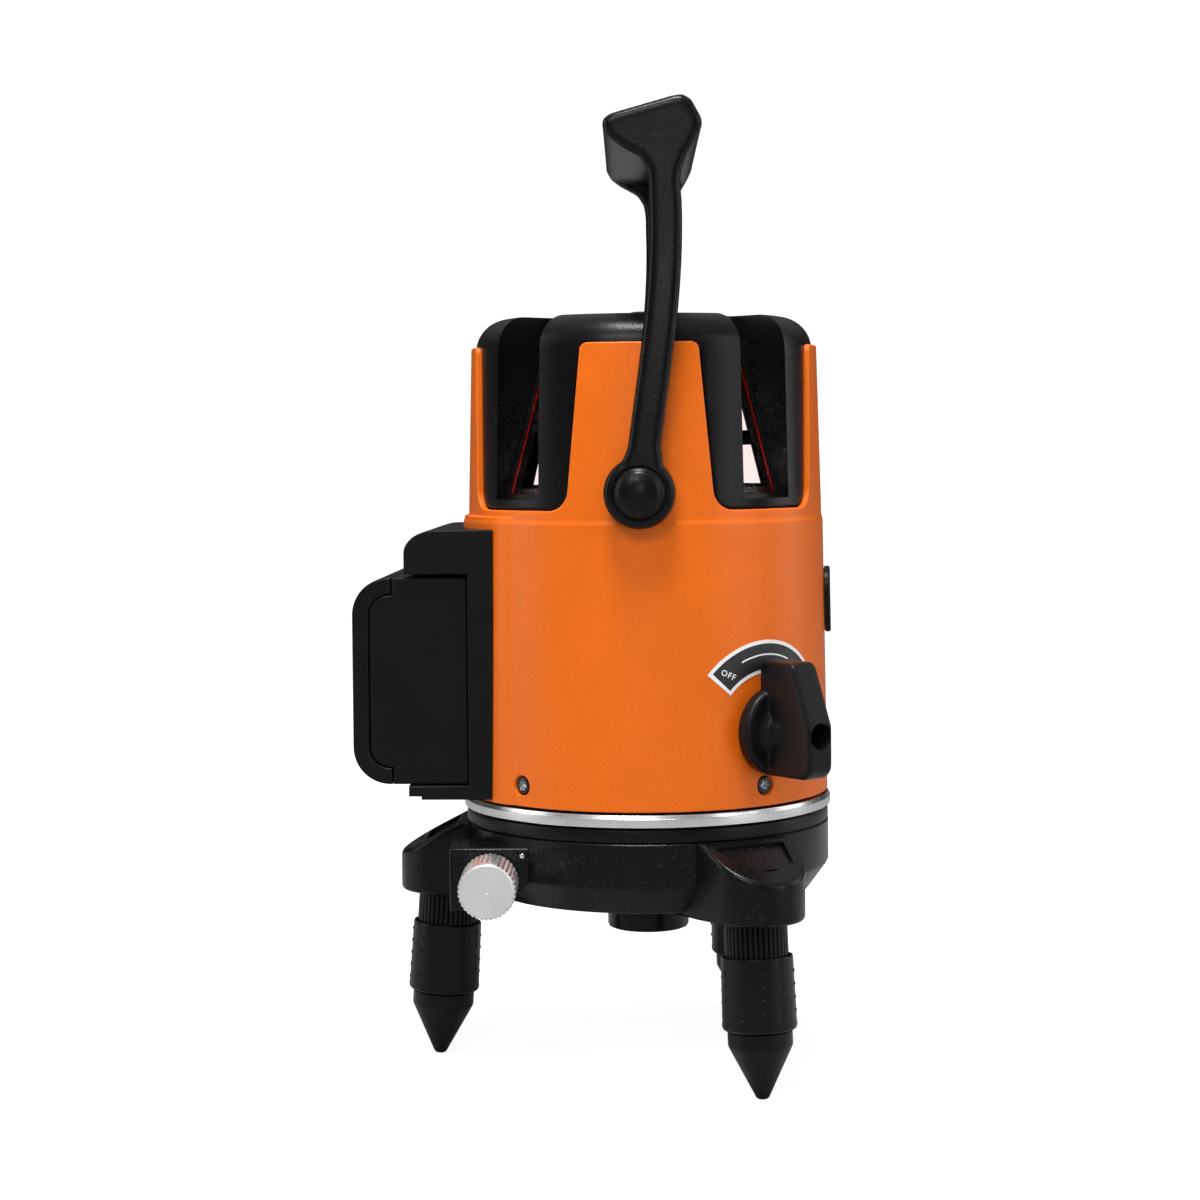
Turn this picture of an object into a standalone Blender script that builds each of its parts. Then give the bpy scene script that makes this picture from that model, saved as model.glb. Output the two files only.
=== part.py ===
"""Self-levelling multi-line laser on a turning tripod base.

Lengths are in millimetres about the turning axis and are scaled to metres when a
mesh is made. An angle "round" is measured from the front (-Y) towards +X.
Blender 4.5, +Z up, standing on the ground plane.
"""
import math

import bmesh
import bpy
from mathutils import Matrix, Vector

# ---------------------------------------------------------------- driving dimensions
MM = 0.001
GAP = 0.3                 # clearance between neighbouring pieces
ROUND = 36                # steps round a large turned piece
AXIS_X = 13.0             # the turning axis, from the middle of the whole object
BASE_YAW = 1.5            # the base stands turned by this much under the instrument

BODY_R = 50.4             # base housing
BASE_TOP = 66.6
BASE_FLOOR = 50.3
BASE_BOTTOM = 47.3
CAVITY_R = 46.4
BOSS_R = 11.3
BOSS_BOTTOM = 35.6

LEG_ANGLES = (-90.0, 30.0, 150.0)
LEG_R = 58.8              # from the turning axis to a foot's point
LEG_TILT = 3.8
LEG_LIFT = 0.113          # brings the lowest edge of a tilted foot to the ground
LEG_BORE_R = 8.75

WORM_X = -41.7            # tangent screw
WORM_Z = 55.5
WORM_PITCH_R = 3.2
WHEEL_TEETH = 48
WHEEL_PITCH_R = -WORM_X - WORM_PITCH_R
TOOTH_PITCH = 2.0 * math.pi * WHEEL_PITCH_R / WHEEL_TEETH

HOUSING_BOTTOM = 74.5
HOUSING_R_LOW = 50.3
HOUSING_R_MID = 49.2
HOUSING_MID = 150.0
TAB_TOP = 197.3
TAB_R_TOP = 47.9
SCREW_ROUND = 40.0
SCREW_Z = 80.3

CROWN_TOP = 205.2
CROWN_CORE_R = 45.9
CROWN_BORE_R = 43.8
WINDOW_ROUND = (45.0, 135.0, 225.0, 315.0)
GLASS_R = 43.5            # the inclined glass line starts here ...
GLASS_Z = 156.0
GLASS_LEAN = 0.347        # ... and leans in by this much for each unit of height

PIVOT_Z = 158.0           # handle
ARM_INNER_Y = 49.6
ARM_OUTER_Y = 55.2
ARM_HALF = 4.2            # half of an arm's width
HANDLE_LEAN = 3.5         # the rear arm's top stands this much to the left of the front one
LEAN_LOW, LEAN_HIGH = 165.0, 200.0

BUTTON_ROUND = (0.0, 120.0, 240.0)
BUTTON_PLACE = Matrix.Translation((0.0, -14.2, 0.0))

LOCK_ROUND = 41.0
LOCK_Z = 94.9
GIMBAL_Z = 172.0

PACK_BACK_R = 54.8        # concave back of the battery case
PACK_Z = (79.6, 135.2)
PACK_FRONT_X = -78.3
SHELL_SPLIT_X = -67.8


# ---------------------------------------------------------------- shape helpers
def spun_round(angle):
    """Turns a shape made at the front to its place round the turning axis."""
    return Matrix.Rotation(math.radians(angle), 4, "Z")


def facing(angle, radius, height):
    """A frame on the outside: X to the right, Y up, Z outwards."""
    place = Matrix.Translation((0.0, -radius, height))
    return spun_round(angle) @ place @ Matrix.Rotation(math.radians(90.0), 4, "X")


def tidy(shape):
    bmesh.ops.remove_doubles(shape, verts=shape.verts, dist=1e-4)
    bmesh.ops.dissolve_degenerate(shape, edges=shape.edges, dist=1e-4)
    bmesh.ops.recalc_face_normals(shape, faces=shape.faces)
    return shape


def turned(profile, steps=ROUND, closed=True):
    """Spins an (r, z) outline about Z. An open outline starts and ends on the axis."""
    shape = bmesh.new()
    points = [shape.verts.new((r, 0.0, z)) for r, z in profile]
    pairs = list(zip(points, points[1:]))
    if closed:
        pairs.append((points[-1], points[0]))
    rim = [shape.edges.new(pair) for pair in pairs]
    bmesh.ops.spin(shape, geom=points + rim, cent=(0, 0, 0), axis=(0, 0, 1),
                   angle=math.tau, steps=steps, use_merge=True)
    return tidy(shape)


def rod(radius, low, high, steps=18):
    return turned([(0, low), (radius, low), (radius, high), (0, high)], steps, closed=False)


def tube(inner, outer, low, high, steps=24):
    return turned([(inner, low), (outer, low), (outer, high), (inner, high)], steps)


def prism(outline, low, high):
    """Extrudes an outline in XY from low to high along Z."""
    shape = bmesh.new()
    face = shape.faces.new([shape.verts.new((x, y, low)) for x, y in outline])
    grown = bmesh.ops.extrude_face_region(shape, geom=[face])
    moved = [item for item in grown["geom"] if isinstance(item, bmesh.types.BMVert)]
    bmesh.ops.translate(shape, verts=moved, vec=(0, 0, high - low))
    return tidy(shape)


def block(low, high):
    outline = [(low[0], low[1]), (high[0], low[1]), (high[0], high[1]), (low[0], high[1])]
    return prism(outline, low[2], high[2])


def placed(shape, matrix):
    bmesh.ops.transform(shape, matrix=matrix, verts=shape.verts)
    return shape


def along_y(outline, low, high):
    """Extrudes an (x, z) outline from y = low to y = high."""
    shape = prism([(x, z) for x, z in outline], -high, -low)
    return placed(shape, Matrix.Rotation(math.radians(90.0), 4, "X"))


def radial_prism(outline, half_width):
    """A prism whose side outline is (r, z), standing at the front, across its width."""
    shape = along_y([(-r, z) for r, z in outline], -half_width, half_width)
    return placed(shape, spun_round(90.0))


def arc(centre, radius, start, end, steps):
    turn = [math.radians(start + (end - start) * i / steps) for i in range(steps + 1)]
    return [(centre[0] + radius * math.cos(a), centre[1] + radius * math.sin(a)) for a in turn]


def boolean(base, tool, operation):
    """The union, difference or intersection of two closed shapes."""
    objects = []
    for shape in (base, tool):
        mesh = bpy.data.meshes.new("blank")
        shape.to_mesh(mesh)
        shape.free()
        objects.append(bpy.data.objects.new("blank", mesh))
        bpy.context.collection.objects.link(objects[-1])
    modifier = objects[0].modifiers.new("cut", "BOOLEAN")
    modifier.operation = operation
    modifier.object = objects[1]
    modifier.solver = "EXACT"
    bpy.context.view_layer.update()
    evaluated = objects[0].evaluated_get(bpy.context.evaluated_depsgraph_get())
    result = bmesh.new()
    result.from_mesh(evaluated.to_mesh())
    evaluated.to_mesh_clear()
    for item in objects:
        mesh = item.data
        bpy.data.objects.remove(item)
        bpy.data.meshes.remove(mesh)
    return tidy(result)


def joined(first, *others):
    for other in others:
        first = boolean(first, other, "UNION")
    return first


def cut(base, *tools):
    for tool in tools:
        base = boolean(base, tool, "DIFFERENCE")
    return base


def common(first, second):
    return boolean(first, second, "INTERSECT")


def rounded_edges(shape, width, choose, segments=2):
    edges = [edge for edge in shape.edges if choose(edge)]
    bmesh.ops.bevel(shape, geom=edges, offset=width, offset_type="OFFSET", affect="EDGES",
                    segments=segments, profile=0.5, material=-1)
    return tidy(shape)


def sharp(edge, least=35.0):
    return len(edge.link_faces) == 2 and edge.calc_face_angle(0.0) > math.radians(least)


# ---------------------------------------------------------------- materials and nodes
FINISHES = {
    "black_plastic": ((0.012, 0.012, 0.013), 0.45, 0.0),
    "black_rubber": ((0.010, 0.010, 0.010), 0.70, 0.0),
    "orange_plastic": ((0.80, 0.16, 0.015), 0.38, 0.0),
    "aluminium": ((0.80, 0.80, 0.80), 0.28, 1.0),
    "steel": ((0.45, 0.45, 0.46), 0.30, 1.0),
    "dark_steel": ((0.08, 0.08, 0.085), 0.35, 1.0),
    "brass": ((0.72, 0.50, 0.20), 0.30, 1.0),
    "copper": ((0.80, 0.36, 0.20), 0.30, 1.0),
    "glass": ((0.55, 0.12, 0.10), 0.05, 0.0),
    "nylon": ((0.75, 0.73, 0.68), 0.50, 0.0),
    "circuit_green": ((0.02, 0.16, 0.06), 0.45, 0.0),
    "vial_green": ((0.45, 0.75, 0.10), 0.10, 0.0),
    "button_grey": ((0.20, 0.20, 0.21), 0.55, 0.0),
    "cell_wrap": ((0.15, 0.17, 0.20), 0.35, 0.4),
}


def finish(name):
    material = bpy.data.materials.get(name)
    if material:
        return material
    colour, roughness, metallic = FINISHES[name]
    material = bpy.data.materials.new(name)
    material.use_nodes = True
    shader = material.node_tree.nodes["Principled BSDF"]
    shader.inputs["Base Color"].default_value = (*colour, 1.0)
    shader.inputs["Roughness"].default_value = roughness
    shader.inputs["Metallic"].default_value = metallic
    return material


def pivot(name, parent=None, matrix=Matrix.Identity(4)):
    """An empty on a joint's axis, which carries the pieces that turn about it."""
    empty = bpy.data.objects.new(name, None)
    bpy.context.collection.objects.link(empty)
    empty.parent = parent
    location, turn, _ = matrix.decompose()
    empty.location = location * MM
    empty.rotation_mode = "QUATERNION"
    empty.rotation_quaternion = turn
    return empty


def piece(name, shape, material, parent):
    """Makes the named object of one sub-part, in metres, under its pivot."""
    bmesh.ops.scale(shape, vec=(MM, MM, MM), verts=shape.verts)
    mesh = bpy.data.meshes.new(name)
    shape.to_mesh(mesh)
    shape.free()
    mesh.shade_smooth()
    mesh.set_sharp_from_angle(angle=math.radians(32.0))
    mesh.materials.append(finish(material))
    item = bpy.data.objects.new(name, mesh)
    bpy.context.collection.objects.link(item)
    item.parent = parent
    return item


# ---------------------------------------------------------------- tripod base
def leg_frame(angle):
    """A frame on a leg's tilted axis: Z up the leg, its origin at the foot's point."""
    place = Matrix.Translation((0.0, -LEG_R, LEG_LIFT))
    return spun_round(angle) @ place @ Matrix.Rotation(math.radians(-LEG_TILT), 4, "X")


def leg_arm():
    """An arm towards the front, with a sloping top that has a shallow pocket."""
    end = (0.0, -56.2)
    outline = [(-14.5, -38.0)] + arc(end, 12.8, 190.0, 350.0, 10) + [(14.5, -38.0)]
    arm = prism(outline, 46.6, BASE_TOP)
    slope = math.atan2(BASE_TOP - 57.5, 69.0 - 51.0)
    bmesh.ops.bisect_plane(arm, geom=arm.verts[:] + arm.edges[:] + arm.faces[:], dist=1e-5,
                           plane_co=(0, -51.0, BASE_TOP), clear_outer=True,
                           plane_no=(0, -math.sin(slope), math.cos(slope)))
    bmesh.ops.holes_fill(arm, edges=[e for e in arm.edges if e.is_boundary])
    tidy(arm)
    arm = rounded_edges(arm, 1.4, lambda e: sharp(e) and e.verts[0].co.y < -45 and
                        e.verts[1].co.y < -45, 1)
    pocket = prism([(-11.0, -2.2), (11.0, -2.2), (8.2, -13.5), (-8.2, -13.5)], -1.0, 4.0)
    lean = Matrix.Translation((0, -51.0, BASE_TOP)) @ Matrix.Rotation(slope, 4, "X")
    return cut(arm, placed(pocket, lean))


def base_housing():
    body = turned([(0, BASE_TOP), (BODY_R, BASE_TOP), (BODY_R, 55.0), (44.5, BASE_BOTTOM),
                   (BOSS_R, BASE_BOTTOM), (BOSS_R, BOSS_BOTTOM + 0.8),
                   (BOSS_R - 0.8, BOSS_BOTTOM), (0, BOSS_BOTTOM)], closed=False)
    for angle in LEG_ANGLES:
        body = joined(body, placed(leg_arm(), spun_round(angle)))
    tangent_block = block((-52.6, -39.5, BASE_BOTTOM + 0.05), (-31.4, -22.0, 64.0))
    tangent_block = rounded_edges(tangent_block, 1.5, lambda e: max(v.co.y for v in e.verts) < -39, 1)
    body = joined(body, tangent_block)
    cavity = turned([(0, 56.0), (13.0, 56.0), (13.0, BASE_FLOOR), (15.5, BASE_FLOOR),
                     (15.5, 53.7), (20.0, 53.7), (20.0, BASE_FLOOR), (CAVITY_R, BASE_FLOOR),
                     (CAVITY_R, 70.0), (0, 70.0)], closed=False)
    body = cut(body, cavity, rod(9.0, 30.0, 60.0, 24))
    for angle in LEG_ANGLES:
        bore = rod(LEG_BORE_R, 40.0, 60.0, 24)
        body = cut(body, placed(bore, leg_frame(angle)))
    shaft_bore = placed(rod(2.7, 11.0, 44.0, 16), facing(0.0, 0.0, 0.0))
    shaft_bore = placed(shaft_bore, Matrix.Translation((WORM_X, 0.0, WORM_Z)))
    worm_pocket = block((-46.7, -13.0, 50.8), (-38.0, 13.0, 60.2))
    return cut(body, shaft_bore, worm_pocket)


def worm_shaft():
    """Right-handed worm, shaft and knob seat. Z runs along the shaft, out to the knob."""
    turns = 3
    steps = 14
    flank = TOOTH_PITCH * 0.18
    crest = TOOTH_PITCH * 0.10
    thread = bmesh.new()
    corners = [(2.1, -flank), (3.8, -crest), (3.8, crest), (2.1, flank)]
    start = -turns * TOOTH_PITCH / 2.0
    face = thread.faces.new([thread.verts.new((r, 0, start + z)) for r, z in corners])
    bmesh.ops.spin(thread, geom=[face], cent=(0, 0, 0), axis=(0, 0, 1), angle=math.tau * turns,
                   steps=turns * steps, dvec=(0, 0, TOOTH_PITCH / steps))
    core = rod(2.3, -11.0, 45.7, 14)
    return joined(core, tidy(thread))


def worm_wheel():
    rim = []
    for tooth in range(WHEEL_TEETH):
        middle = math.tau * tooth / WHEEL_TEETH + math.pi
        for radius, half in ((37.35, 0.18), (38.95, 0.09), (38.95, -0.09), (37.35, -0.18)):
            turn = middle - half * math.tau / WHEEL_TEETH
            rim.append((radius * math.cos(turn), radius * math.sin(turn)))
    wheel = prism(rim, 54.0, 57.0)
    wheel = joined(wheel, rod(20.0, 54.0, 64.3, 32))
    return cut(wheel, rod(13.4, 50.0, 66.0, 24))


def knurled(radius, depth, low, high, ridges, chamfer=0.6):
    """A knurled disc: ridges down its side, with plain chamfered ends."""
    outline = []
    for ridge in range(ridges):
        for part, r in ((0.0, radius), (0.5, radius - depth)):
            turn = math.tau * (ridge + part) / ridges
            outline.append((r * math.cos(turn), r * math.sin(turn)))
    body = prism(outline, low + chamfer, high - chamfer)
    core = radius - depth - 0.02
    ends = turned([(0, low), (core - chamfer, low), (core, low + chamfer), (core, high - chamfer),
                   (core - chamfer, high), (0, high)], ridges, closed=False)
    return joined(body, ends)


def make_base(root):
    base = pivot("base_frame", root, spun_round(BASE_YAW))
    piece("base_housing", base_housing(), "black_plastic", base)
    piece("tripod_bush", tube(6.9, 8.7, BOSS_BOTTOM + 0.4, 55.6, 24), "brass", base)
    cover = turned([(50.3, 66.9), (50.3, 69.8), (49.6, 70.6), (24.3, 70.6), (24.3, 68.0),
                    (44.2, 68.0), (44.2, 65.4), (46.0, 65.4), (46.0, 66.9)])
    piece("base_cover", cover, "black_plastic", base)
    dial = turned([(51.0, 70.9), (51.0, 73.5), (50.4, 74.1), (39.0, 74.1), (39.0, 70.9)])
    piece("dial_ring", dial, "aluminium", base)
    piece("bearing_ring", tube(24.4, 38.6, 70.9, 74.1, 32), "nylon", base)
    wheel = pivot("fine_ring_axis", base)
    piece("worm_wheel", worm_wheel(), "nylon", wheel)
    to_knob = Matrix.Translation((WORM_X, 0, WORM_Z)) @ facing(0.0, 0.0, 0.0)
    knob = pivot("fine_knob_axis", base, to_knob)
    piece("worm_shaft", worm_shaft(), "steel", knob)
    grip = knurled(7.6, 0.45, 40.4, 56.0, 24)
    grip = cut(grip, rod(2.6, 38.0, 46.0, 20))
    piece("fine_knob", joined(grip, knob_hub()), "aluminium", knob)


def knob_hub():
    """The narrow neck between the knob and its block, bored for the shaft's end."""
    return tube(2.6, 4.6, 39.9, 40.9, 20)


def make_leg(root, number, angle):
    """Foot that slides, and the fluted stem and rubber sleeve that turn on it."""
    slide = pivot(f"leg_{number}_axis", root, spun_round(BASE_YAW) @ leg_frame(angle))
    foot = turned([(0, 0), (1.7, 0), (8.3, 13.6), (8.5, 14.4), (8.5, 17.9), (5.0, 17.9),
                   (5.0, 30.0), (0, 30.0)], 20, closed=False)
    piece(f"foot_{number}", foot, "black_plastic", slide)
    flutes = []
    for flute in range(20):
        for part, r in ((0.0, 8.35), (0.5, 7.9)):
            turn = math.tau * (flute + part) / 20
            flutes.append((r * math.cos(turn), r * math.sin(turn)))
    stem = joined(prism(flutes, 36.0, 50.0), rod(7.8, 18.2, 54.2, 20))
    stem = cut(stem, rod(5.3, 10.0, 30.3, 16))
    piece(f"stem_{number}", stem, "black_plastic", slide)
    sleeve = turned([(8.3, 18.9), (9.3, 18.2), (9.8, 18.9), (9.35, 37.3), (8.7, 37.3),
                     (8.7, 36.0), (8.3, 35.7)], 24)
    piece(f"sleeve_{number}", sleeve, "black_rubber", slide)


# ---------------------------------------------------------------- instrument casing
def housing_radius(height):
    share = (height - HOUSING_BOTTOM) / (HOUSING_MID - HOUSING_BOTTOM)
    return HOUSING_R_LOW + (HOUSING_R_MID - HOUSING_R_LOW) * share


def window_outline(inset):
    """(across, height) outline of a window opening between two tabs, flared at its top."""
    low, high = 18.2 - inset, 20.9 - inset
    bottom = 153.2 + inset
    corner = 5.5 - inset
    right = arc((low - corner, bottom + corner), corner, 270.0, 360.0, 5)
    flare = arc((high + 2.0, TAB_TOP - 2.0), 2.0, 180.0, 90.0, 3) if inset == 0 else []
    top = [(high + 2.0, 212.0)] if inset == 0 else [(high, 199.0)]
    side = right + flare + top
    return side + [(-across, height) for across, height in reversed(side)]


def window_prism(inset, near, far, angle):
    return placed(prism([(x, z) for x, z in window_outline(inset)], near, far),
                  facing(angle, 0.0, 0.0))


def housing():
    shell = turned([(HOUSING_R_LOW, HOUSING_BOTTOM), (HOUSING_R_MID, HOUSING_MID), (49.0, 151.0),
                    (TAB_R_TOP, TAB_TOP), (46.3, TAB_TOP), (46.3, 152.0), (47.0, 150.5),
                    (47.0, HOUSING_BOTTOM)])
    pad = turned([(47.6, HOUSING_BOTTOM), (51.5, HOUSING_BOTTOM), (50.4, 151.0), (50.0, 151.5),
                  (47.6, 151.5)])
    pad = common(pad, block((-70, -32.5, 60), (-20, 32.5, 160)))
    shell = joined(shell, pad)
    for angle in WINDOW_ROUND:
        shell = cut(shell, window_prism(0.0, 30.0, 60.0, angle))
    for angle in (SCREW_ROUND, -SCREW_ROUND, 180 - SCREW_ROUND, 180 + SCREW_ROUND):
        hole = turned([(0, 44), (1.6, 44), (1.6, 48.3), (2.7, 48.3), (2.7, 55), (0, 55)],
                      20, closed=False)
        shell = cut(shell, placed(hole, facing(angle, 0.0, SCREW_Z)))
    shell = cut(shell, placed(rod(3.4, 40, 60, 20), facing(LOCK_ROUND, 0.0, LOCK_Z)))
    for angle in (0.0, 180.0):
        shell = cut(shell, placed(rod(3.5, 40, 60, 20), facing(angle, 0.0, PIVOT_Z)))
    shell = cut(shell, placed(rod(4.1, 40, 60, 20), facing(90.0, 0.0, 126.5)))
    return cut(shell, block((-60, -8, 100), (-40, 8, 112)))


def glass_line(height, offset=0.0):
    return (GLASS_R - GLASS_LEAN * (height - GLASS_Z) + offset, height)


def crown():
    top_curve = [(x, z) for x, z in arc((39.6, CROWN_TOP - 7.0), 7.0, 0.0, 90.0, 4)]
    shell = turned([(0, 202.2), (CROWN_BORE_R, 202.2 - 1.5), (CROWN_BORE_R, 141.0),
                    (CROWN_CORE_R, 141.0), (CROWN_CORE_R, 197.65)] + top_curve
                   + [(0, CROWN_TOP)], closed=False)
    for angle in WINDOW_ROUND:
        surround = turned([(44.6, 152.5), (47.75, 152.5), (46.6, 198.5), (44.6, 198.5)])
        surround = common(surround, window_prism(GAP, 30.0, 60.0, angle))
        shell = joined(shell, surround)
        cell = radial_prism([glass_line(153.8, -2.7), (45.0, 153.8), (45.0, 197.0),
                             (40.0, 203.6), glass_line(203.6, -2.7)], 10.4)
        shell = joined(shell, placed(cell, spun_round(angle)))
    for angle in (0.0, 180.0):
        boss = placed(rod(5.5, 41.0, 45.0, 20), facing(angle, 0.0, PIVOT_Z))
        bore = placed(rod(3.3, 38.0, 50.0, 20), facing(angle, 0.0, PIVOT_Z))
        shell = cut(joined(shell, boss), bore)
    for angle in WINDOW_ROUND:
        slot = radial_prism([glass_line(GLASS_Z), (60, GLASS_Z), (60, 212), glass_line(212)], 8.5)
        rebate = radial_prism([glass_line(157.2, 1.0), glass_line(157.2, -1.5),
                               glass_line(201.3, -1.5), glass_line(201.3, 1.0)], 7.6)
        opening = radial_prism([glass_line(158.8, 1.0), glass_line(158.8, -5.0),
                                glass_line(199.4, -5.0), glass_line(199.4, 1.0)], 6.3)
        turn = spun_round(angle)
        shell = cut(shell, placed(slot, turn), placed(rebate, turn), placed(opening, turn))
    recess = rod(21.3, 203.7, 210.0, 32)
    well = joined(shell, rod(9.0, 196.5, 203.0, 20))
    shell = cut(well, recess, rod(7.2, 198.2, 210.0, 20))
    for angle in BUTTON_ROUND:
        hole = placed(rod(3.0, 196.0, 210.0, 12), spun_round(angle) @ BUTTON_PLACE)
        shell = cut(shell, hole)
    return shell


def window_glass(angle):
    pane = radial_prism([glass_line(157.5, -0.2), glass_line(157.5, -1.2),
                         glass_line(201.0, -1.2), glass_line(201.0, -0.2)], 7.3)
    return placed(pane, spun_round(angle))


def turntable():
    """The plate that carries the instrument, with its hub down to the clutch."""
    plate = turned([(14.8, 64.6), (23.8, 64.6), (23.8, 74.4), (46.6, 74.4), (46.6, 85.0),
                    (43.2, 85.0), (43.2, 77.6), (14.8, 77.6)])
    for angle in (SCREW_ROUND, -SCREW_ROUND, 180 - SCREW_ROUND, 180 + SCREW_ROUND):
        plate = cut(plate, placed(rod(1.5, 40, 50, 12), facing(angle, 0.0, SCREW_Z)))
    return plate


def make_casing(body):
    piece("turntable", turntable(), "black_plastic", body)
    piece("housing", housing(), "orange_plastic", body)
    piece("crown", crown(), "black_plastic", body)
    for number, angle in enumerate(WINDOW_ROUND, 1):
        piece(f"window_glass_{number}", window_glass(angle), "glass", body)
    for name, angle in (("right", SCREW_ROUND), ("left", -SCREW_ROUND)):
        screw = turned([(0, 42.0), (1.2, 42.0), (1.2, 48.6), (2.3, 48.6), (2.3, 49.6),
                        (1.9, 49.9), (0, 49.9)], 16, closed=False)
        piece(f"housing_screw_{name}", placed(screw, facing(angle, 0.0, SCREW_Z)),
              "dark_steel", body)


def make_top(body):
    panel = rod(21.0, 204.0, 205.7, 32)
    panel = cut(panel, rod(7.3, 200, 210, 20))
    for angle in BUTTON_ROUND:
        panel = cut(panel, placed(rod(3.9, 200, 210, 14), spun_round(angle) @ BUTTON_PLACE))
    piece("control_panel", panel, "black_rubber", body)
    vial = turned([(0, 198.5), (6.9, 198.5), (6.9, 204.6), (6.0, 205.4), (3.0, 205.8), (0, 205.9)],
                  20, closed=False)
    piece("bubble_vial", vial, "vial_green", body)
    for number, angle in enumerate(BUTTON_ROUND, 1):
        axis = pivot(f"button_{number}_axis", body, spun_round(angle) @ BUTTON_PLACE)
        cap = turned([(0, 200.5), (2.6, 200.5), (2.6, 204.8), (3.5, 204.8), (3.5, 206.0),
                      (3.0, 206.4), (0, 206.6)], 14, closed=False)
        piece(f"button_{number}", cap, "button_grey", axis)


# ---------------------------------------------------------------- carrying handle
def bow(height):
    """How far the arm's middle line stands forward of the pivot."""
    return 7.4 * math.sin(((height - PIVOT_Z) / 70.0) ** 1.2 * math.pi / 2.0)


GRIP_TOP = [(17.0, 252.2), (16.9, 254.0), (14.2, 259.0), (12.0, 260.3), (9.5, 260.0),
            (-6.6, 255.6), (-8.5, 254.3), (-8.8, 252.3)]


def arm_outline():
    """(x, z) outline of one arm with its pivot eye and its flared neck."""
    eye = arc((0.0, PIVOT_Z), 9.4, 118.0, 408.0, 16)
    heights = [172.0, 184.0, 197.0, 210.0, 222.0, 233.0]
    right = [(bow(z) + ARM_HALF, z) for z in heights]
    right += [(11.4, 241.0), (12.6, 244.6), (15.4, 248.8)]
    left = [(-7.3, 249.4), (-4.6, 247.3), (0.6, 244.4), (2.7, 240.6)]
    left += [(bow(z) - ARM_HALF, z) for z in reversed(heights)]
    return eye + right + GRIP_TOP + left


def leaning(shape):
    """Shifts the rear of the bail to the left, fading in above the pivot eyes."""
    for vert in shape.verts:
        fade = min(max((vert.co.z - LEAN_LOW) / (LEAN_HIGH - LEAN_LOW), 0.0), 1.0)
        rearward = (vert.co.y + ARM_OUTER_Y) / (2.0 * ARM_OUTER_Y)
        vert.co.x -= HANDLE_LEAN * rearward * fade * fade * (3.0 - 2.0 * fade)
    bmesh.ops.triangulate(shape, faces=shape.faces)
    return shape


def handle():
    grip = along_y(GRIP_TOP + [(-7.3, 249.4), (0.0, 247.8), (14.6, 247.8)], -52.0, 52.0)
    for near, far in ((-ARM_OUTER_Y, -ARM_INNER_Y), (ARM_INNER_Y, ARM_OUTER_Y)):
        arm = along_y(arm_outline(), near, far)
        arm = rounded_edges(arm, 1.3, lambda e: abs(e.verts[0].co.y - e.verts[1].co.y) < 0.1, 1)
        grip = joined(grip, arm)
    grip = leaning(grip)
    for angle in (0.0, 180.0):
        bore = turned([(0, 40), (3.4, 40), (3.4, 53.6), (7.0, 53.6), (7.0, 60), (0, 60)], 20,
                      closed=False)
        grip = cut(grip, placed(bore, facing(angle, 0.0, PIVOT_Z)))
    return grip


def make_handle(body):
    """The bail turns on two pivot screws that are fast in the casing."""
    axis = pivot("handle_axis", body, Matrix.Translation((0, 0, PIVOT_Z)))
    piece("handle", placed(handle(), Matrix.Translation((0, 0, -PIVOT_Z))), "black_plastic", axis)
    for name, angle in (("front", 0.0), ("rear", 180.0)):
        screw = turned([(0, 40.6), (3.0, 40.6), (3.0, 53.9), (6.6, 53.9), (6.6, 55.2), (5.6, 56.2),
                        (3.4, 57.1), (0, 57.4)], 20, closed=False)
        piece(f"pivot_screw_{name}", placed(screw, facing(angle, 0.0, PIVOT_Z)), "black_plastic",
              body)


# ---------------------------------------------------------------- battery
def battery_bracket():
    low, high = 75.6, 148.0
    outline = [(-40.0, low), (-59.8, low), (-59.8, low + 0.9), (-63.2, low + 0.9),
               (-63.2, 79.3), (-47.0, 79.3), (-47.0, 136.2), (-64.0, 136.2)]
    outline += [(-55.4 + 8.6 * math.cos(a), 141.8 + 6.2 * math.sin(a))
                for a in (math.radians(180.0 - 18.0 * i) for i in range(6))]
    outline += [(-40.0, high)]
    bracket = along_y(outline, -31.9, 31.9)
    back = tube(50.0, PACK_BACK_R - GAP, 77.0, 140.0, ROUND)
    back = common(back, block((-80, -29.0, 60), (-40, 29.0, 160)))
    bracket = joined(bracket, back)
    seat = turned([(0, 60), (51.5 + GAP, 60), (51.5 + GAP, HOUSING_BOTTOM), (50.4 + GAP, 151.0),
                   (0, 170)], closed=False)
    latch_slot = block((-70, -10.4, 70), (-56.4, 10.4, 79.9))
    return cut(bracket, seat, latch_slot, block((-60, -8, 100), (-45, 8, 112)))


def shell_outline(offset):
    """Left side of the battery pack's outline, inset by an offset from its outside."""
    corner = 10.0 - offset
    left = PACK_FRONT_X + offset
    low, high = PACK_Z[0] + offset, PACK_Z[1] - offset
    lower = arc((left + corner, low + corner), corner, 270.0, 180.0, 6)
    upper = arc((left + corner, high - corner), corner, 180.0, 90.0, 6)
    return [(SHELL_SPLIT_X, low)] + lower + upper + [(SHELL_SPLIT_X, high)]


def battery_case():
    inner = shell_outline(4.4 + GAP)
    outline = [(-47.3, PACK_Z[0]), (SHELL_SPLIT_X + GAP, PACK_Z[0])]
    outline += [(SHELL_SPLIT_X + GAP, inner[0][1])] + inner[1:-1]
    outline += [(SHELL_SPLIT_X + GAP, inner[-1][1]), (SHELL_SPLIT_X + GAP, PACK_Z[1]),
                (-47.3, PACK_Z[1])]
    case = along_y(outline, -30.0, 30.0)
    case = cut(case, rod(PACK_BACK_R, 60, 160, ROUND))
    return cut(case, block((-80, -27.2, 85.4), (-57.2, 27.2, 129.4)))


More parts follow.
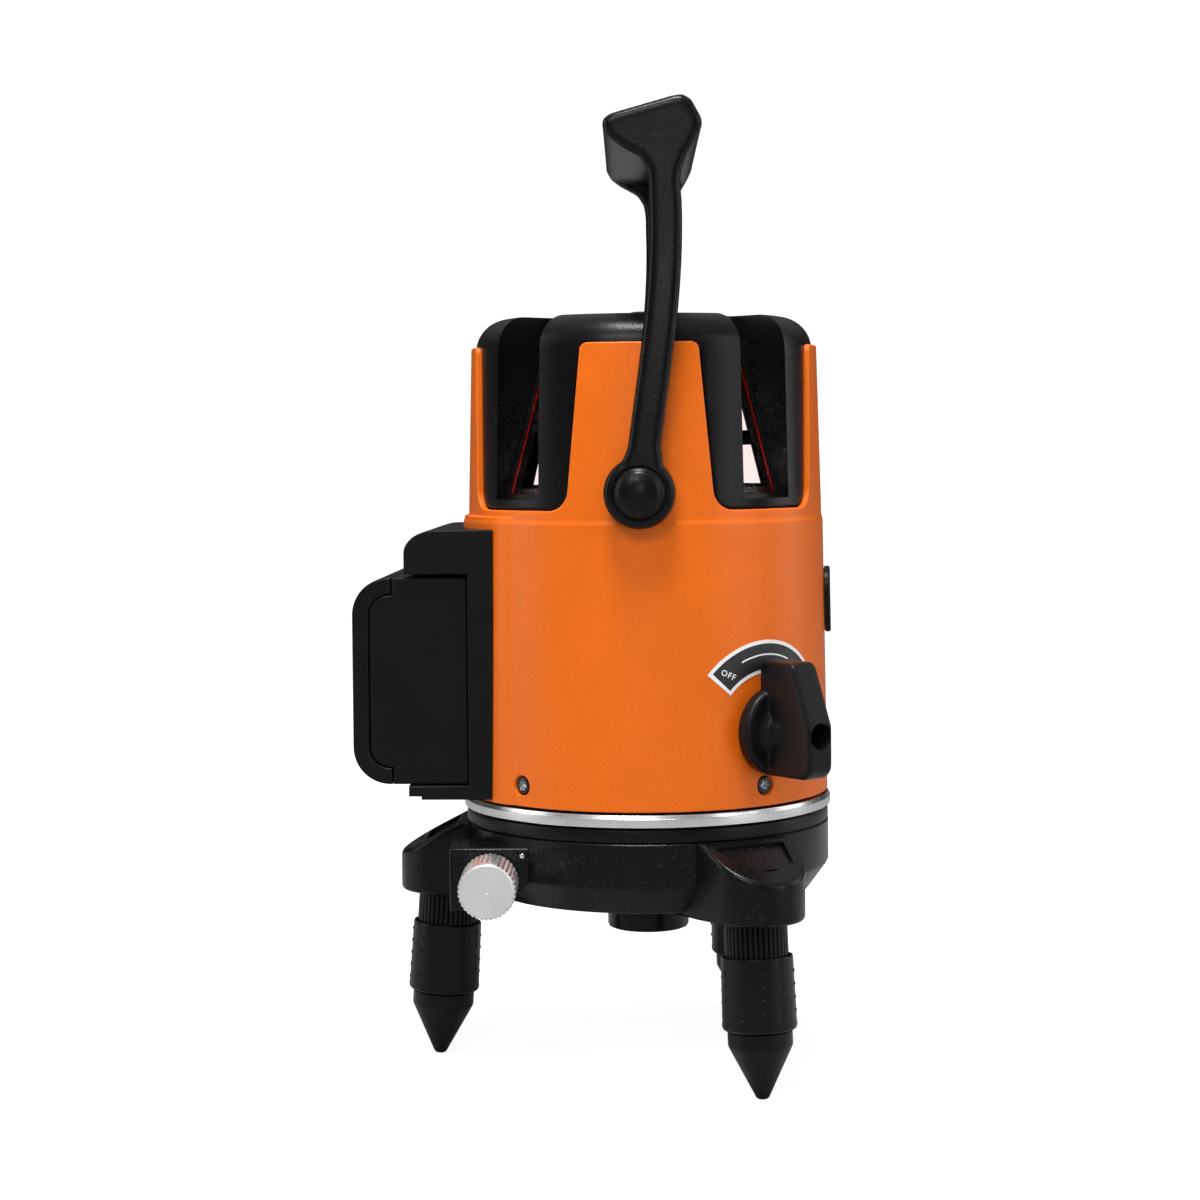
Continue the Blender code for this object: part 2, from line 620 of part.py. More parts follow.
def make_battery(body):
    piece("battery_bracket", battery_bracket(), "black_plastic", body)
    slide = pivot("battery_axis", body, Matrix.Translation((PACK_FRONT_X, 0, 107.4)))
    back = Matrix.Translation((-PACK_FRONT_X, 0, -107.4))
    piece("battery_case", placed(battery_case(), back), "black_plastic", slide)
    outline = shell_outline(0.0) + list(reversed(shell_outline(4.4)))
    cover = along_y(outline, -30.0, 30.0)
    piece("battery_cover", placed(cover, back), "black_plastic", slide)
    for number, height in enumerate((92.5, 107.4, 122.3), 1):
        cell = turned([(0, -25.0), (6.6, -25.0), (7.2, -24.4), (7.2, 23.4), (6.6, 24.0),
                       (2.7, 24.0), (2.7, 25.0), (0, 25.0)], 14, closed=False)
        turn = Matrix.Rotation(math.radians(90.0 if number % 2 else -90.0), 4, "X")
        place = Matrix.Translation((-64.9, 0, height)) @ turn
        piece(f"cell_{number}", placed(cell, back @ place), "cell_wrap", slide)
    plate = block((-72.0, 25.8, 86.0), (-57.8, 26.8, 128.8))
    piece("contact_plate", placed(plate, back), "steel", slide)
    latch = pivot("latch_axis", body, Matrix.Translation((-60.0, 0, 77.8)))
    tab = block((-63.2, -10.0, 76.4), (-56.8, 10.0, 79.2))
    tab = rounded_edges(tab, 0.6, lambda e: sharp(e) and max(v.co.x for v in e.verts) < -63, 1)
    piece("battery_latch", placed(tab, Matrix.Translation((60.0, 0, -77.8))), "black_plastic",
          latch)


# ---------------------------------------------------------------- lock knob and plunger
def lock_knob():
    """Disc and wing, in the frame X right, Y up, Z outwards from the turning axis."""
    disc = turned([(0, 50.9), (10.6, 50.9), (11.5, 51.4), (11.5, 54.3), (10.7, 55.0), (0, 55.0)],
                  28, closed=False)
    side = [(17.6, 51.6), (18.9, 53.0), (18.6, 63.4), (17.4, 64.8), (2.5, 70.6), (-7.0, 70.6)]
    side += arc((-7.4, 66.6), 4.0, 90.0, 180.0, 3)[1:] + [(-11.4, 53.2), (-10.0, 51.6)]
    wing = prism(side, -4.1, 4.1)
    wing = rounded_edges(wing, 0.9, lambda e: sharp(e) and min(v.co.y for v in e.verts) > 60, 2)
    swing = Matrix(((0, 0, 1, 0), (1, 0, 0, 0), (0, 1, 0, 0), (0, 0, 0, 1)))
    knob = joined(disc, placed(wing, swing))
    return cut(knob, rod(3.3, 63.0, 80.0, 20), rod(1.9, 45.0, 64.0, 16),
               rod(3.4, 40.0, 52.4, 20))


def make_lock(body):
    axis = pivot("lock_axis", body, facing(LOCK_ROUND, 0.0, LOCK_Z))
    piece("lock_knob", lock_knob(), "black_plastic", axis)
    shaft = rod(3.0, 5.0, 52.1, 14)
    eccentric = placed(rod(3.6, -4.0, 5.4, 14), Matrix.Translation((1.9, 0, 0)))
    piece("lock_shaft", joined(shaft, eccentric), "steel", axis)
    screw = turned([(0, 52.5), (1.5, 52.5), (1.5, 63.4), (2.8, 63.4), (2.8, 64.8), (2.3, 65.2),
                    (0, 65.2)], 16, closed=False)
    piece("lock_screw", screw, "dark_steel", axis)
    lift = pivot("plunger_axis", body, Matrix.Translation((0, 0, 100.0)))
    plunger = turned([(0, -1.1), (4.6, -1.1), (4.6, 0.3), (2.2, 0.3), (2.2, 6.0), (8.0, 6.0),
                      (8.0, 8.0), (0, 8.0)], 16, closed=False)
    piece("lock_plunger", plunger, "brass", lift)


# ---------------------------------------------------------------- compensator
def gimbal_frame():
    frame = block((-8.0, -40.0, 77.9), (8.0, 40.0, 80.6))
    for side in (-1.0, 1.0):
        low, high = sorted((side * 36.0, side * 40.0))
        frame = joined(frame, block((-4.0, low, 79.0), (4.0, high, 177.0)))
    frame = joined(frame, block((-8.0, -37.0, 102.0), (8.0, 37.0, 104.0)))
    frame = cut(frame, rod(2.6, 100, 106, 16), rod(10.0, 70, 85, 24))
    for angle in (0.0, 180.0):
        frame = joined(frame, placed(rod(1.2, 28.0, 36.5, 12), facing(angle, 0.0, GIMBAL_Z)))
    return frame


def make_compensator(body):
    piece("gimbal_frame", gimbal_frame(), "aluminium", body)
    piece("magnet_ring", tube(9.6, 14.0, 104.3, 108.4, 20), "dark_steel", body)
    outer = pivot("gimbal_outer_axis", body, Matrix.Translation((0, 0, GIMBAL_Z)))
    ring = tube(26.0, 30.0, -2.0, 2.0, 32)
    for angle in (0.0, 90.0):
        ring = cut(ring, placed(rod(1.5, -60, 60, 12), facing(angle, 0.0, 0.0)))
    piece("gimbal_ring", ring, "aluminium", outer)
    inner = pivot("gimbal_inner_axis", outer)
    bar = block((-22.0, -4.0, -2.5), (22.0, 4.0, 2.5))
    spine = block((-5.0, -5.0, -38.7), (5.0, 5.0, 9.0))
    head = prism(arc((0, 0), 9.5, 0.0, 315.0, 7), 7.0, 20.0)
    trim = placed(rod(5.8, 3.0, 32.0, 16), facing(225.0, 0.0, -12.0))
    stub_left, stub_right = [placed(rod(1.2, 21.5, 29.6, 12), facing(angle, 0.0, 0.0))
                             for angle in (-90.0, 90.0)]
    body_shape = joined(bar, spine, head, trim, stub_left, stub_right)
    piece("pendulum", body_shape, "aluminium", inner)
    for number, angle in enumerate(WINDOW_ROUND, 1):
        module = turned([(0, 9.9), (4.8, 9.9), (4.8, 24.0), (3.4, 25.0), (3.4, 26.6), (0, 26.6)],
                        14, closed=False)
        piece(f"line_module_{number}", placed(module, facing(angle, 0.0, 14.0)), "brass", inner)
    can = turned([(0, 7.4), (5.8, 7.4), (5.8, 30.5), (4.6, 32.0), (0, 32.0)], 16, closed=False)
    piece("level_module", placed(can, facing(45.0, 0.0, -12.0)), "dark_steel", inner)
    piece("pendulum_weight", rod(12.0, -57.0, -39.0, 20), "brass", inner)
    piece("damping_disc", rod(15.0, -60.3, -57.3, 24), "copper", inner)


# ---------------------------------------------------------------- electronics
def make_electronics(body):
    piece("circuit_board", block((37.6, -22.0, 86.0), (39.2, 22.0, 139.0)), "circuit_green", body)
    socket = tube(2.4, 3.7, 39.6, 49.0, 20)
    piece("charging_socket", placed(socket, facing(90.0, 0.0, 126.5)), "dark_steel", body)
    flap_outline = arc((0, 130.0), 6.2, 0.0, 180.0, 8) + [(-6.0, 124.0), (-4.6, 119.0),
                                                           (-2.6, 118.0), (2.6, 118.0),
                                                           (4.6, 119.0), (6.0, 124.0)]
    flap = placed(prism(flap_outline, 40.0, 60.0), facing(90.0, 0.0, 0.0))
    skin = turned([(housing_radius(z) + offset, z) for z, offset in
                   ((115.0, GAP), (115.0, 1.8), (140.0, 1.8), (140.0, GAP))])
    axis = pivot("flap_axis", body, Matrix.Translation((51.2, 0, 135.6)))
    flap = placed(common(flap, skin), Matrix.Translation((-51.2, 0, -135.6)))
    piece("socket_flap", flap, "black_rubber", axis)


def main():
    for item in list(bpy.data.objects):
        bpy.data.objects.remove(item, do_unlink=True)
    root = pivot("turning_axis", None, Matrix.Translation((AXIS_X, 0, 0)))
    make_base(root)
    for number, angle in enumerate(LEG_ANGLES, 1):
        make_leg(root, number, angle)
    body = pivot("body_axis", root)
    make_casing(body)
    make_top(body)
    make_handle(body)
    make_battery(body)
    make_lock(body)
    make_compensator(body)
    make_electronics(body)


main()
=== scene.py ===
# %% [markdown]
# # A self-levelling line laser, finished for its portrait
# The engineering model already fixes every size, joint and bearing. This lesson
# loads it as a frame and gives each part that can be seen a finer surface, at the
# very place the frame gives. Lengths are in millimetres about the turning axis, as
# on a workshop drawing, and become metres only when a piece is finished.

# %% The frame and its box
import math

import bmesh
import bpy
from mathutils import Matrix, Vector


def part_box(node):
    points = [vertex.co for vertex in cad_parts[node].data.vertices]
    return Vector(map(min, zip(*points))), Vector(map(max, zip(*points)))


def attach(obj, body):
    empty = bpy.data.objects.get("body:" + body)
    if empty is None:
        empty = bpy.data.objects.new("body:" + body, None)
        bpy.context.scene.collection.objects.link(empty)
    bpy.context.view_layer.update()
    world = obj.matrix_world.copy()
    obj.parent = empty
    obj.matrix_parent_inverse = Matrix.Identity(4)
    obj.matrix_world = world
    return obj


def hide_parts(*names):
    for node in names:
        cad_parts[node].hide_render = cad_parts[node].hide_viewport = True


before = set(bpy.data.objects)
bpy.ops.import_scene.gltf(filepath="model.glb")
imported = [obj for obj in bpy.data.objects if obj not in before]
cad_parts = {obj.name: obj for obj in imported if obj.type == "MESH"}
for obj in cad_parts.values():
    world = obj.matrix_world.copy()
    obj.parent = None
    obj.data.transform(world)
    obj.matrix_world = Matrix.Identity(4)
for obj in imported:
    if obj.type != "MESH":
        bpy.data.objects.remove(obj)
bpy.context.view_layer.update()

# %% [markdown]
# Driving sizes are read off the frame's own parts, so the finish can't drift away
# from the model. The turning axis is the middle of the dial ring.

# %% Driving sizes
MM = 0.001
GAP = 0.3


def span(node):
    """Lowest and highest corner of a frame part, in millimetres about the turning axis."""
    low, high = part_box(node)
    return (low - AXIS) / MM, (high - AXIS) / MM


dial_low, dial_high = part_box("dial_ring")
AXIS = Vector(((dial_low.x + dial_high.x) / 2, 0.0, 0.0))
(DIAL_LOW, DIAL_TOP), (HOUSING_BOTTOM, TAB_TOP), (CROWN_BOTTOM, CROWN_TOP) = [
    [corner.z for corner in span(node)] for node in ("dial_ring", "housing", "crown")]
DIAL_R = span("dial_ring")[1].x
BOSS_BOTTOM = span("base_housing")[0].z
COVER_BOTTOM, COVER_TOP, TAB_R_TOP = 66.9, span("base_cover")[1].z, 47.9
WINDOWS = (45.0, 135.0, 225.0, 315.0)
print(f"axis at x = {AXIS.x:.4f} m, crown top {CROWN_TOP:.1f} mm")

# %% [markdown]
# ## Camera
# A long lens from seven tenths of a metre keeps the shape calm. The camera looks
# nearly level and the frame is shifted down a little, which keeps the verticals almost
# parallel. The axis stands a little to the right of the middle, and the camera is
# rolled by half a degree, as a hand-set tripod head often is.

# %% Camera
CAMERA_DISTANCE, CAMERA_HEIGHT = 0.693, 0.173
CAMERA_ROUND, CAMERA_DOWN, CAMERA_ASIDE, CAMERA_ROLL = 1.5, 1.7, 1.036, -0.52
camera = bpy.data.objects.new("camera", bpy.data.cameras.new("camera"))
bpy.context.scene.collection.objects.link(camera)
camera.data.sensor_width = 36.0
camera.data.lens = 74.5
camera.data.shift_y = -0.0758
around = math.radians(CAMERA_ROUND)
camera.location = AXIS + Vector((math.sin(around), -math.cos(around), 0)) * CAMERA_DISTANCE
camera.location.z = CAMERA_HEIGHT
heading = Matrix.Rotation(around + math.radians(CAMERA_ASIDE), 4, "Z")
tilt = Matrix.Rotation(math.radians(90.0 - CAMERA_DOWN), 4, "X")
roll = Matrix.Rotation(math.radians(CAMERA_ROLL), 4, "Z")
camera.rotation_mode = "QUATERNION"
camera.rotation_quaternion = (heading @ tilt @ roll).to_quaternion()
bpy.context.scene.camera = camera

# %% [markdown]
# ## Shape tools
# Nearly every part here is turned on a lathe, pressed as a flat outline, or a sheet
# bent round the body. So a few helpers carry the whole job: spin, extrude, bevel,
# slice and bend. A Boolean joins shapes, and a voxel remesh melts the soft ones.

# %% Placing
def spun_round(angle):
    """Turns a shape made at the front to its place round the turning axis."""
    return Matrix.Rotation(math.radians(angle), 4, "Z")


def facing(angle, radius, height):
    """A frame on the outside of the body: X to the right, Y up, Z outwards."""
    place = Matrix.Translation((0.0, -radius, height))
    return spun_round(angle) @ place @ Matrix.Rotation(math.radians(90.0), 4, "X")


def placed(shape, matrix):
    bmesh.ops.transform(shape, matrix=matrix, verts=shape.verts)
    return shape


def clean(shape):
    bmesh.ops.remove_doubles(shape, verts=shape.verts, dist=2e-4)
    bmesh.ops.dissolve_degenerate(shape, edges=shape.edges, dist=2e-4)
    bmesh.ops.recalc_face_normals(shape, faces=shape.faces)
    return shape


def copied(shape, matrix):
    return placed(shape.copy(), matrix)


# %% Turning, pressing and bevelling
def turned(profile, steps):
    """Spins an (r, z) outline about Z. One that starts on the axis ends there too."""
    shape = bmesh.new()
    points = [shape.verts.new((r, 0.0, z)) for r, z in profile]
    pairs = list(zip(points, points[1:]))
    if profile[0][0] > 0.0:
        pairs.append((points[-1], points[0]))
    sides = [shape.edges.new(pair) for pair in pairs]
    bmesh.ops.spin(shape, geom=points + sides, cent=(0, 0, 0), axis=(0, 0, 1),
                   angle=math.tau, steps=steps, use_merge=True)
    return clean(shape)


def rod(radius, low, high, steps=48):
    """A plain cylinder on the axis, for a shaft or for the tool of a hole."""
    return turned([(0, low), (radius, low), (radius, high), (0, high)], steps)


def polar(radius, turn):
    return radius * math.cos(turn), radius * math.sin(turn)


def arc(centre, radius, start, end, steps, height=None):
    """Points on a circle, or on an ellipse where a height is given, between two angles."""
    turns = [math.radians(start + (end - start) * i / steps) for i in range(steps + 1)]
    return [(centre[0] + radius * math.cos(turn),
             centre[1] + (height or radius) * math.sin(turn)) for turn in turns]


def eased(profile, radius, steps):
    """Rounds every corner of an outline by a radius, or by less where a side is short."""
    points = [Vector(point) for point in profile]
    outline = []
    for here, point in enumerate(points):
        back = points[here - 1] - point
        ahead = points[(here + 1) % len(points)] - point
        reach = min(radius, back.length * 0.45, ahead.length * 0.45)
        first = point + back.normalized() * reach
        last = point + ahead.normalized() * reach
        for step in range(steps + 1):
            share = step / steps
            outline.append(tuple(first.lerp(point, share).lerp(point.lerp(last, share), share)))
    return outline


def prism(outline, low, high):
    """Presses an outline in XY from low to high along Z."""
    shape = bmesh.new()
    face = shape.faces.new([shape.verts.new((x, y, low)) for x, y in outline])
    grown = bmesh.ops.extrude_face_region(shape, geom=[face])
    moved = [item for item in grown["geom"] if isinstance(item, bmesh.types.BMVert)]
    bmesh.ops.translate(shape, verts=moved, vec=(0, 0, high - low))
    return clean(shape)


def softened(shape, width, choose, segments=3):
    """Bevels the chosen edges round."""
    edges = [edge for edge in shape.edges if choose(edge)]
    bmesh.ops.bevel(shape, geom=edges, offset=width, offset_type="OFFSET", affect="EDGES",
                    segments=segments, profile=0.5, material=-1, clamp_overlap=True)
    return clean(shape)


def part_way(value, low, high):
    """How far a value has come from low to high, kept between 0 and 1."""
    return min(max((value - low) / (high - low), 0.0), 1.0)


def smoothed(part):
    """A part from 0 to 1 with a soft start and a soft end."""
    return part * part * (3.0 - 2.0 * part)


def sharp(edge, least=40.0):
    return len(edge.link_faces) == 2 and edge.calc_face_angle(0.0) > math.radians(least)


def level(edge, axis, *values):
    """Whether both ends of an edge lie at one of some values along an axis."""
    return any(all(abs(v.co[axis] - value) < 1e-3 for v in edge.verts) for value in values)


def rim(*heights):
    """Chooses the edges that lie at one of some heights."""
    return lambda edge: level(edge, 2, *heights)


def pressed(outline, low, high, edge, segments=3):
    """A prism with both rims rounded."""
    return softened(prism(outline, low, high), edge, rim(low, high), segments)


def block(low, high):
    """A plain box between two corners."""
    outline = [(low[0], low[1]), (high[0], low[1]), (high[0], high[1]), (low[0], high[1])]
    return prism(outline, low[2], high[2])


def lying(shape):
    """Turns a prism pressed in (x, z) so that its thickness runs along Y."""
    return placed(shape, Matrix.Rotation(math.radians(90.0), 4, "X"))


def radial_prism(outline, half_width):
    """A prism whose side outline is (r, z), standing at the front, across its width."""
    shape = lying(prism([(-r, z) for r, z in outline], -half_width, half_width))
    return placed(shape, spun_round(90.0))


# %% Joining, cutting and melting
def evaluated(shape_list, settings):
    """Runs modifiers on shapes: the first one carries them, a second one is the tool."""
    objects = []
    for shape in shape_list:
        mesh = bpy.data.meshes.new("blank")
        shape.to_mesh(mesh)
        shape.free()
        objects.append(bpy.data.objects.new("blank", mesh))
        bpy.context.scene.collection.objects.link(objects[-1])
    for kind, values in settings:
        modifier = objects[0].modifiers.new("step", kind)
        if kind == "BOOLEAN":
            modifier.object = objects[1]
        for name, value in values.items():
            setattr(modifier, name, value)
    bpy.context.view_layer.update()
    ready = objects[0].evaluated_get(bpy.context.evaluated_depsgraph_get())
    result = bmesh.new()
    result.from_mesh(ready.to_mesh())
    ready.to_mesh_clear()
    for item in objects:
        mesh = item.data
        bpy.data.objects.remove(item)
        bpy.data.meshes.remove(mesh)
    return result


def boolean(base, tool, operation):
    return clean(evaluated([base, tool], [("BOOLEAN", {"operation": operation,
                                                       "solver": "EXACT"})]))


def joined(first, *others):
    for other in others:
        first = boolean(first, other, "UNION")
    return first


def cut(base, *tools):
    for tool in tools:
        base = boolean(base, tool, "DIFFERENCE")
    return base


def together(shapes):
    """Several separate shapes as one, without joining their surfaces."""
    whole = bmesh.new()
    for shape in shapes:
        mesh = bpy.data.meshes.new("part")
        shape.to_mesh(mesh)
        shape.free()
        whole.from_mesh(mesh)
        bpy.data.meshes.remove(mesh)
    return whole


def round_body(shape, angles=WINDOWS):
    """Puts a shape at several places round the turning axis, as one shape."""
    twins = [copied(shape, spun_round(angle)) for angle in angles]
    shape.free()
    return together(twins)


def melted(shapes, voxel, rounds):
    """Fuses overlapping shapes with a voxel remesh and smooths the result."""
    return evaluated([together(shapes)], [
        ("REMESH", {"mode": "VOXEL", "voxel_size": voxel, "adaptivity": 0.0}),
        ("SMOOTH", {"factor": 0.5, "iterations": rounds})])


# %% Bending a flat sheet round the body
def sliced(shape, axis, places):
    """Cuts a shape into strips, so that it can bend."""
    for place in places:
        point, normal = Vector(), Vector()
        point[axis], normal[axis] = place, 1.0
        everything = shape.verts[:] + shape.edges[:] + shape.faces[:]
        bmesh.ops.bisect_plane(shape, geom=everything, plane_co=point, plane_no=normal,
                               dist=1e-4)
    return shape


def bent(shape, angle, reference, radius_at):
    """Bends a sheet (X along, Y up, Z outwards) round the turning axis."""
    for point in shape.verts:
        along, height, out = point.co
        turn = math.radians(angle) + along / reference
        radius = radius_at(height, turn) + out
        point.co = (radius * math.sin(turn), -radius * math.cos(turn), height)
    return shape


# %% [markdown]
# ## Finishes
# A small class wraps a socket, so that a mask can be written as a sum. Each finish
# starts from the Principled shader, and its grain is measured in real millimetres,
# because Object coordinates here are metres.

# %% A socket that does sums
class Wire:
    """A node's output that can take part in Python sums."""

    def __init__(self, tree, socket):
        self.tree = tree
        self.socket = socket

    def node(self, kind, settings=None, inputs=None, out=0):
        """Adds any other node: its settings first, then its sockets' values or links."""
        made = self.tree.nodes.new("ShaderNode" + kind)
        for name, value in (settings or {}).items():
            setattr(made, name, value)
        for name, value in (inputs or {}).items():
            if isinstance(value, Wire):
                self.tree.links.new(value.socket, made.inputs[name])
            else:
                made.inputs[name].default_value = value
        return Wire(self.tree, made.outputs[out])

    def maths(self, operation, *terms):
        return self.node("Math", {"operation": operation}, dict(enumerate(terms)))

    def __add__(self, other):
        return self.maths("ADD", self, other)

    def __radd__(self, other):
        return self.maths("ADD", other, self)

    def __sub__(self, other):
        return self.maths("SUBTRACT", self, other)

    def __rsub__(self, other):
        return self.maths("SUBTRACT", other, self)

    def __mul__(self, other):
        return self.maths("MULTIPLY", self, other)

    def __rmul__(self, other):
        return self.maths("MULTIPLY", other, self)

    def clamped(self):
        """The same value, kept between 0 and 1."""
        return self.maths("MINIMUM", self.maths("MAXIMUM", self, 0.0), 1.0)

    def to(self, socket):
        self.tree.links.new(self.socket, socket)


# %% What every finish starts with
class Finish:
    """A named material with its Principled shader and its Object coordinates."""

    def __init__(self, name, colour, roughness, metallic=0.0, **fixed):
        self.material = bpy.data.materials.new(name)
        self.material.use_nodes = True
        tree = self.material.node_tree
        self.shader = tree.nodes["Principled BSDF"]
        self.colour = colour
        self.set("Base Color", (*colour, 1.0))
        self.set("Roughness", roughness)
        self.set("Metallic", metallic)
        for socket, value in fixed.items():
            self.set(socket.replace("_", " "), value)
        self.at = Wire(tree, tree.nodes.new("ShaderNodeTexCoord").outputs["Object"])

    def set(self, socket, value):
        if isinstance(value, Wire):
            value.to(self.shader.inputs[socket])
        else:
            self.shader.inputs[socket].default_value = value

    def noise(self, size, detail, at=None):
        """Noise whose blobs are about size millimetres wide."""
        return self.at.node("TexNoise", {}, {"Vector": at or self.at, "Scale": 1.0 / (size * MM),
                                             "Detail": detail})

    def bump(self, height, depth):
        """Lets a height pattern stand up to depth millimetres proud."""
        self.set("Normal", self.at.node("Bump", {}, {"Height": height, "Distance": depth * MM,
                                                     "Strength": 1.0}))

    def mixed(self, factor, first, second):
        return self.at.node("Mix", {"data_type": "RGBA"},
                            {"Factor": factor, 6: (*first, 1.0), 7: (*second, 1.0)}, out=2)


# %% [markdown]
# ### Moulded plastics
# Spark-eroded moulds leave a fine even grain, a third to half a millimetre wide. It
# breaks a highlight into specks. Handling polishes it a little in large soft patches.
# A dull specular tint keeps the blacks deep where light grazes them. The grained
# blacks also get pale specks painted into their colour: painted glints of that sparkle.

# %% Moulded plastics
def moulded(name, colour, roughness, grain, depth, painted_glint=0.0, **fixed):
    """Spark-grained plastic. A glint level above 0 paints pale specks as painted sparkle."""
    finish = Finish(name, colour, roughness, **fixed)
    fine = finish.noise(grain, 1.0)
    coarse = finish.noise(grain * 2.3, 1.0)
    worn = finish.noise(14.0, 3.0)
    finish.bump(fine * 0.65 + coarse * 0.35, depth)
    finish.set("Roughness", roughness + (worn - 0.5) * 0.16 + (fine - 0.5) * 0.10)
    shade = tuple(part * 1.5 for part in colour)
    mask = worn * fine
    # Pale specks painted into the colour on the grain's peaks: painted glints standing for sparkle.
    if painted_glint:
        mask = ((fine - 0.66) * 9.0).clamped()
        shade = (painted_glint, painted_glint, painted_glint)
    finish.set("Base Color", finish.mixed(mask, colour, shade))
    return finish.material


DULL = (0.30, 0.30, 0.30, 1.0)
# The two grained blacks carry painted glints: pale specks in their colour.
black_grain = moulded("black_grain", (0.0040, 0.0040, 0.0044), 0.28, 0.60, 0.045,
                      painted_glint=0.012, Specular_Tint=DULL)
cast_black = moulded("cast_black", (0.0034, 0.0034, 0.0037), 0.26, 0.45, 0.050,
                     painted_glint=0.045, Specular_Tint=DULL)
black_satin = moulded("black_satin", (0.0034, 0.0035, 0.0042), 0.40, 0.30, 0.018,
                      Specular_Tint=DULL)
black_soft = moulded("black_soft", (0.0042, 0.0042, 0.0045), 0.36, 0.34, 0.030,
                     Specular_Tint=DULL)
orange_grain = moulded("orange_grain", (0.700, 0.128, 0.0040), 0.38, 0.50, 0.022,
                       Specular_Tint=(0.55, 0.55, 0.55, 1.0))
rubber = moulded("soft_rubber", (0.0046, 0.0046, 0.0050), 0.31, 0.50, 0.014,
                 Specular_Tint=DULL)
button_grey = moulded("button_grey", (0.055, 0.055, 0.060), 0.55, 0.35, 0.02)
nylon = moulded("nylon", (0.62, 0.60, 0.54), 0.48, 0.5, 0.01)

# %% [markdown]
# ### Metals
# A lathe leaves fine rings round its axis. They are waves of the distance from that
# axis, so the centre of the piece is taken away first. Other metal is brushed: its
# noise is drawn out along the height.

# %% Metals
def metal(name, colour, roughness, scratch=0.35, depth=0.004):
    finish = Finish(name, colour, roughness, 1.0)
    stretched = finish.at.node("Mapping", {}, {"Vector": finish.at, "Scale": (1.0, 1.0, 0.12)})
    lines = finish.noise(scratch, 2.0, at=stretched)
    stain = finish.noise(9.0, 3.0)
    finish.bump(lines, depth)
    finish.set("Roughness", roughness + (stain - 0.5) * 0.14 + (lines - 0.5) * 0.08)
    finish.set("Base Color", finish.mixed(stain, colour, tuple(c * 0.86 for c in colour)))
    return finish.material


def lathe_turned(name, colour, roughness, centre, axis, pitch, depth):
    """Metal faced on a lathe, with rings about an axis through a centre."""
    finish = Finish(name, colour, roughness, 1.0)
    flat = tuple(0.0 if letter == axis else 1.0 for letter in "XYZ")
    moved = finish.at.node("VectorMath", {"operation": "SUBTRACT"}, {0: finish.at, 1: centre})
    spread = finish.at.node("VectorMath", {"operation": "MULTIPLY"}, {0: moved, 1: flat})
    distance = finish.at.node("VectorMath", {"operation": "LENGTH"}, {0: spread}, out=1)
    wobble = finish.noise(2.5, 2.0)
    wave = distance * (math.tau / (pitch * MM)) + wobble * 2.0
    rings = wave.maths("SINE", wave)
    dust = finish.noise(0.8, 3.0)
    finish.bump(rings * 0.5 + dust * 0.5, depth)
    finish.set("Roughness", roughness + (dust - 0.5) * 0.16)
    finish.set("Base Color", finish.mixed(dust, colour, tuple(c * 0.90 for c in colour)))
    return finish.material


aluminium = metal("brushed_aluminium", (0.80, 0.80, 0.81), 0.30)
steel = metal("bright_steel", (0.56, 0.56, 0.57), 0.26)
dark_steel = metal("blackened_steel", (0.060, 0.060, 0.064), 0.34)
brass = metal("machined_brass", (0.72, 0.50, 0.22), 0.27)
copper = metal("copper_plate", (0.80, 0.38, 0.24), 0.28)
knob_low, knob_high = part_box("fine_knob")
knob_middle = (knob_low + knob_high) / 2
faced = lathe_turned("faced_aluminium", (0.94, 0.94, 0.94), 0.38, tuple(knob_middle), "Y",
                     0.22, 0.010)
ring_metal = metal("ring_aluminium", (0.86, 0.86, 0.87), 0.26, scratch=0.25, depth=0.002)

# %% [markdown]
# ### Glass, prints and boards
# The window panes are coated glass. Their rim faces get a painted glow: a deep red colour
# that stands for light caught inside, which leaves at the edges with the coating's red.

# %% Glass, prints and boards
def clear(name, colour, roughness, ior, density=1.0):
    finish = Finish(name, colour, roughness, Transmission_Weight=density, IOR=ior)
    smear = finish.noise(6.0, 3.0)
    finish.set("Roughness", roughness + smear * 0.03)
    return finish.material


window_clear = clear("coated_glass", (0.97, 0.90, 0.89), 0.0, 1.08)
vial_fluid = clear("vial_fluid", (0.55, 0.86, 0.10), 0.02, 1.38, 0.75)
vial_lens = clear("vial_lens", (0.96, 0.98, 0.94), 0.0, 1.30)
# Painted glow for the panes' rims: a deep red that stands for light carried along the glass.
painted_edge_glow = moulded("painted_red_edge_glow", (0.20, 0.006, 0.004), 0.25, 0.8, 0.004)
print_white = moulded("print_white", (0.80, 0.80, 0.80), 0.45, 0.25, 0.004)
print_black = moulded("print_black", (0.012, 0.012, 0.012), 0.42, 0.30, 0.006)
cell_wrap = moulded("cell_wrap", (0.10, 0.12, 0.15), 0.28, 0.8, 0.01)


def printed_board():
    """Green solder mask over copper tracks, which show as slightly paler lines."""
    finish = Finish("circuit_board_mask", (0.012, 0.120, 0.045), 0.35)
    upright = finish.at.node("Mapping", {}, {"Vector": finish.at, "Rotation": (1.5708, 0, 1.5708)})
    brick = finish.at.node("TexBrick", {"offset": 0.37, "squash": 1.6, "squash_frequency": 3}, {
        "Vector": upright, "Scale": 160.0, "Mortar Size": 0.045, "Mortar Smooth": 0.2,
        "Brick Width": 0.9, "Row Height": 0.3}, out=1)
    finish.set("Base Color", finish.mixed(brick, (0.012, 0.120, 0.045), (0.035, 0.240, 0.090)))
    finish.bump(brick, 0.02)
    finish.set("Roughness", 0.30 + brick * 0.12)
    return finish.material


board_green = printed_board()

# %% [markdown]
# The frame parts that stay inside keep their shape, and take the finish of their
# material slot. Everything outside is remade finer below.

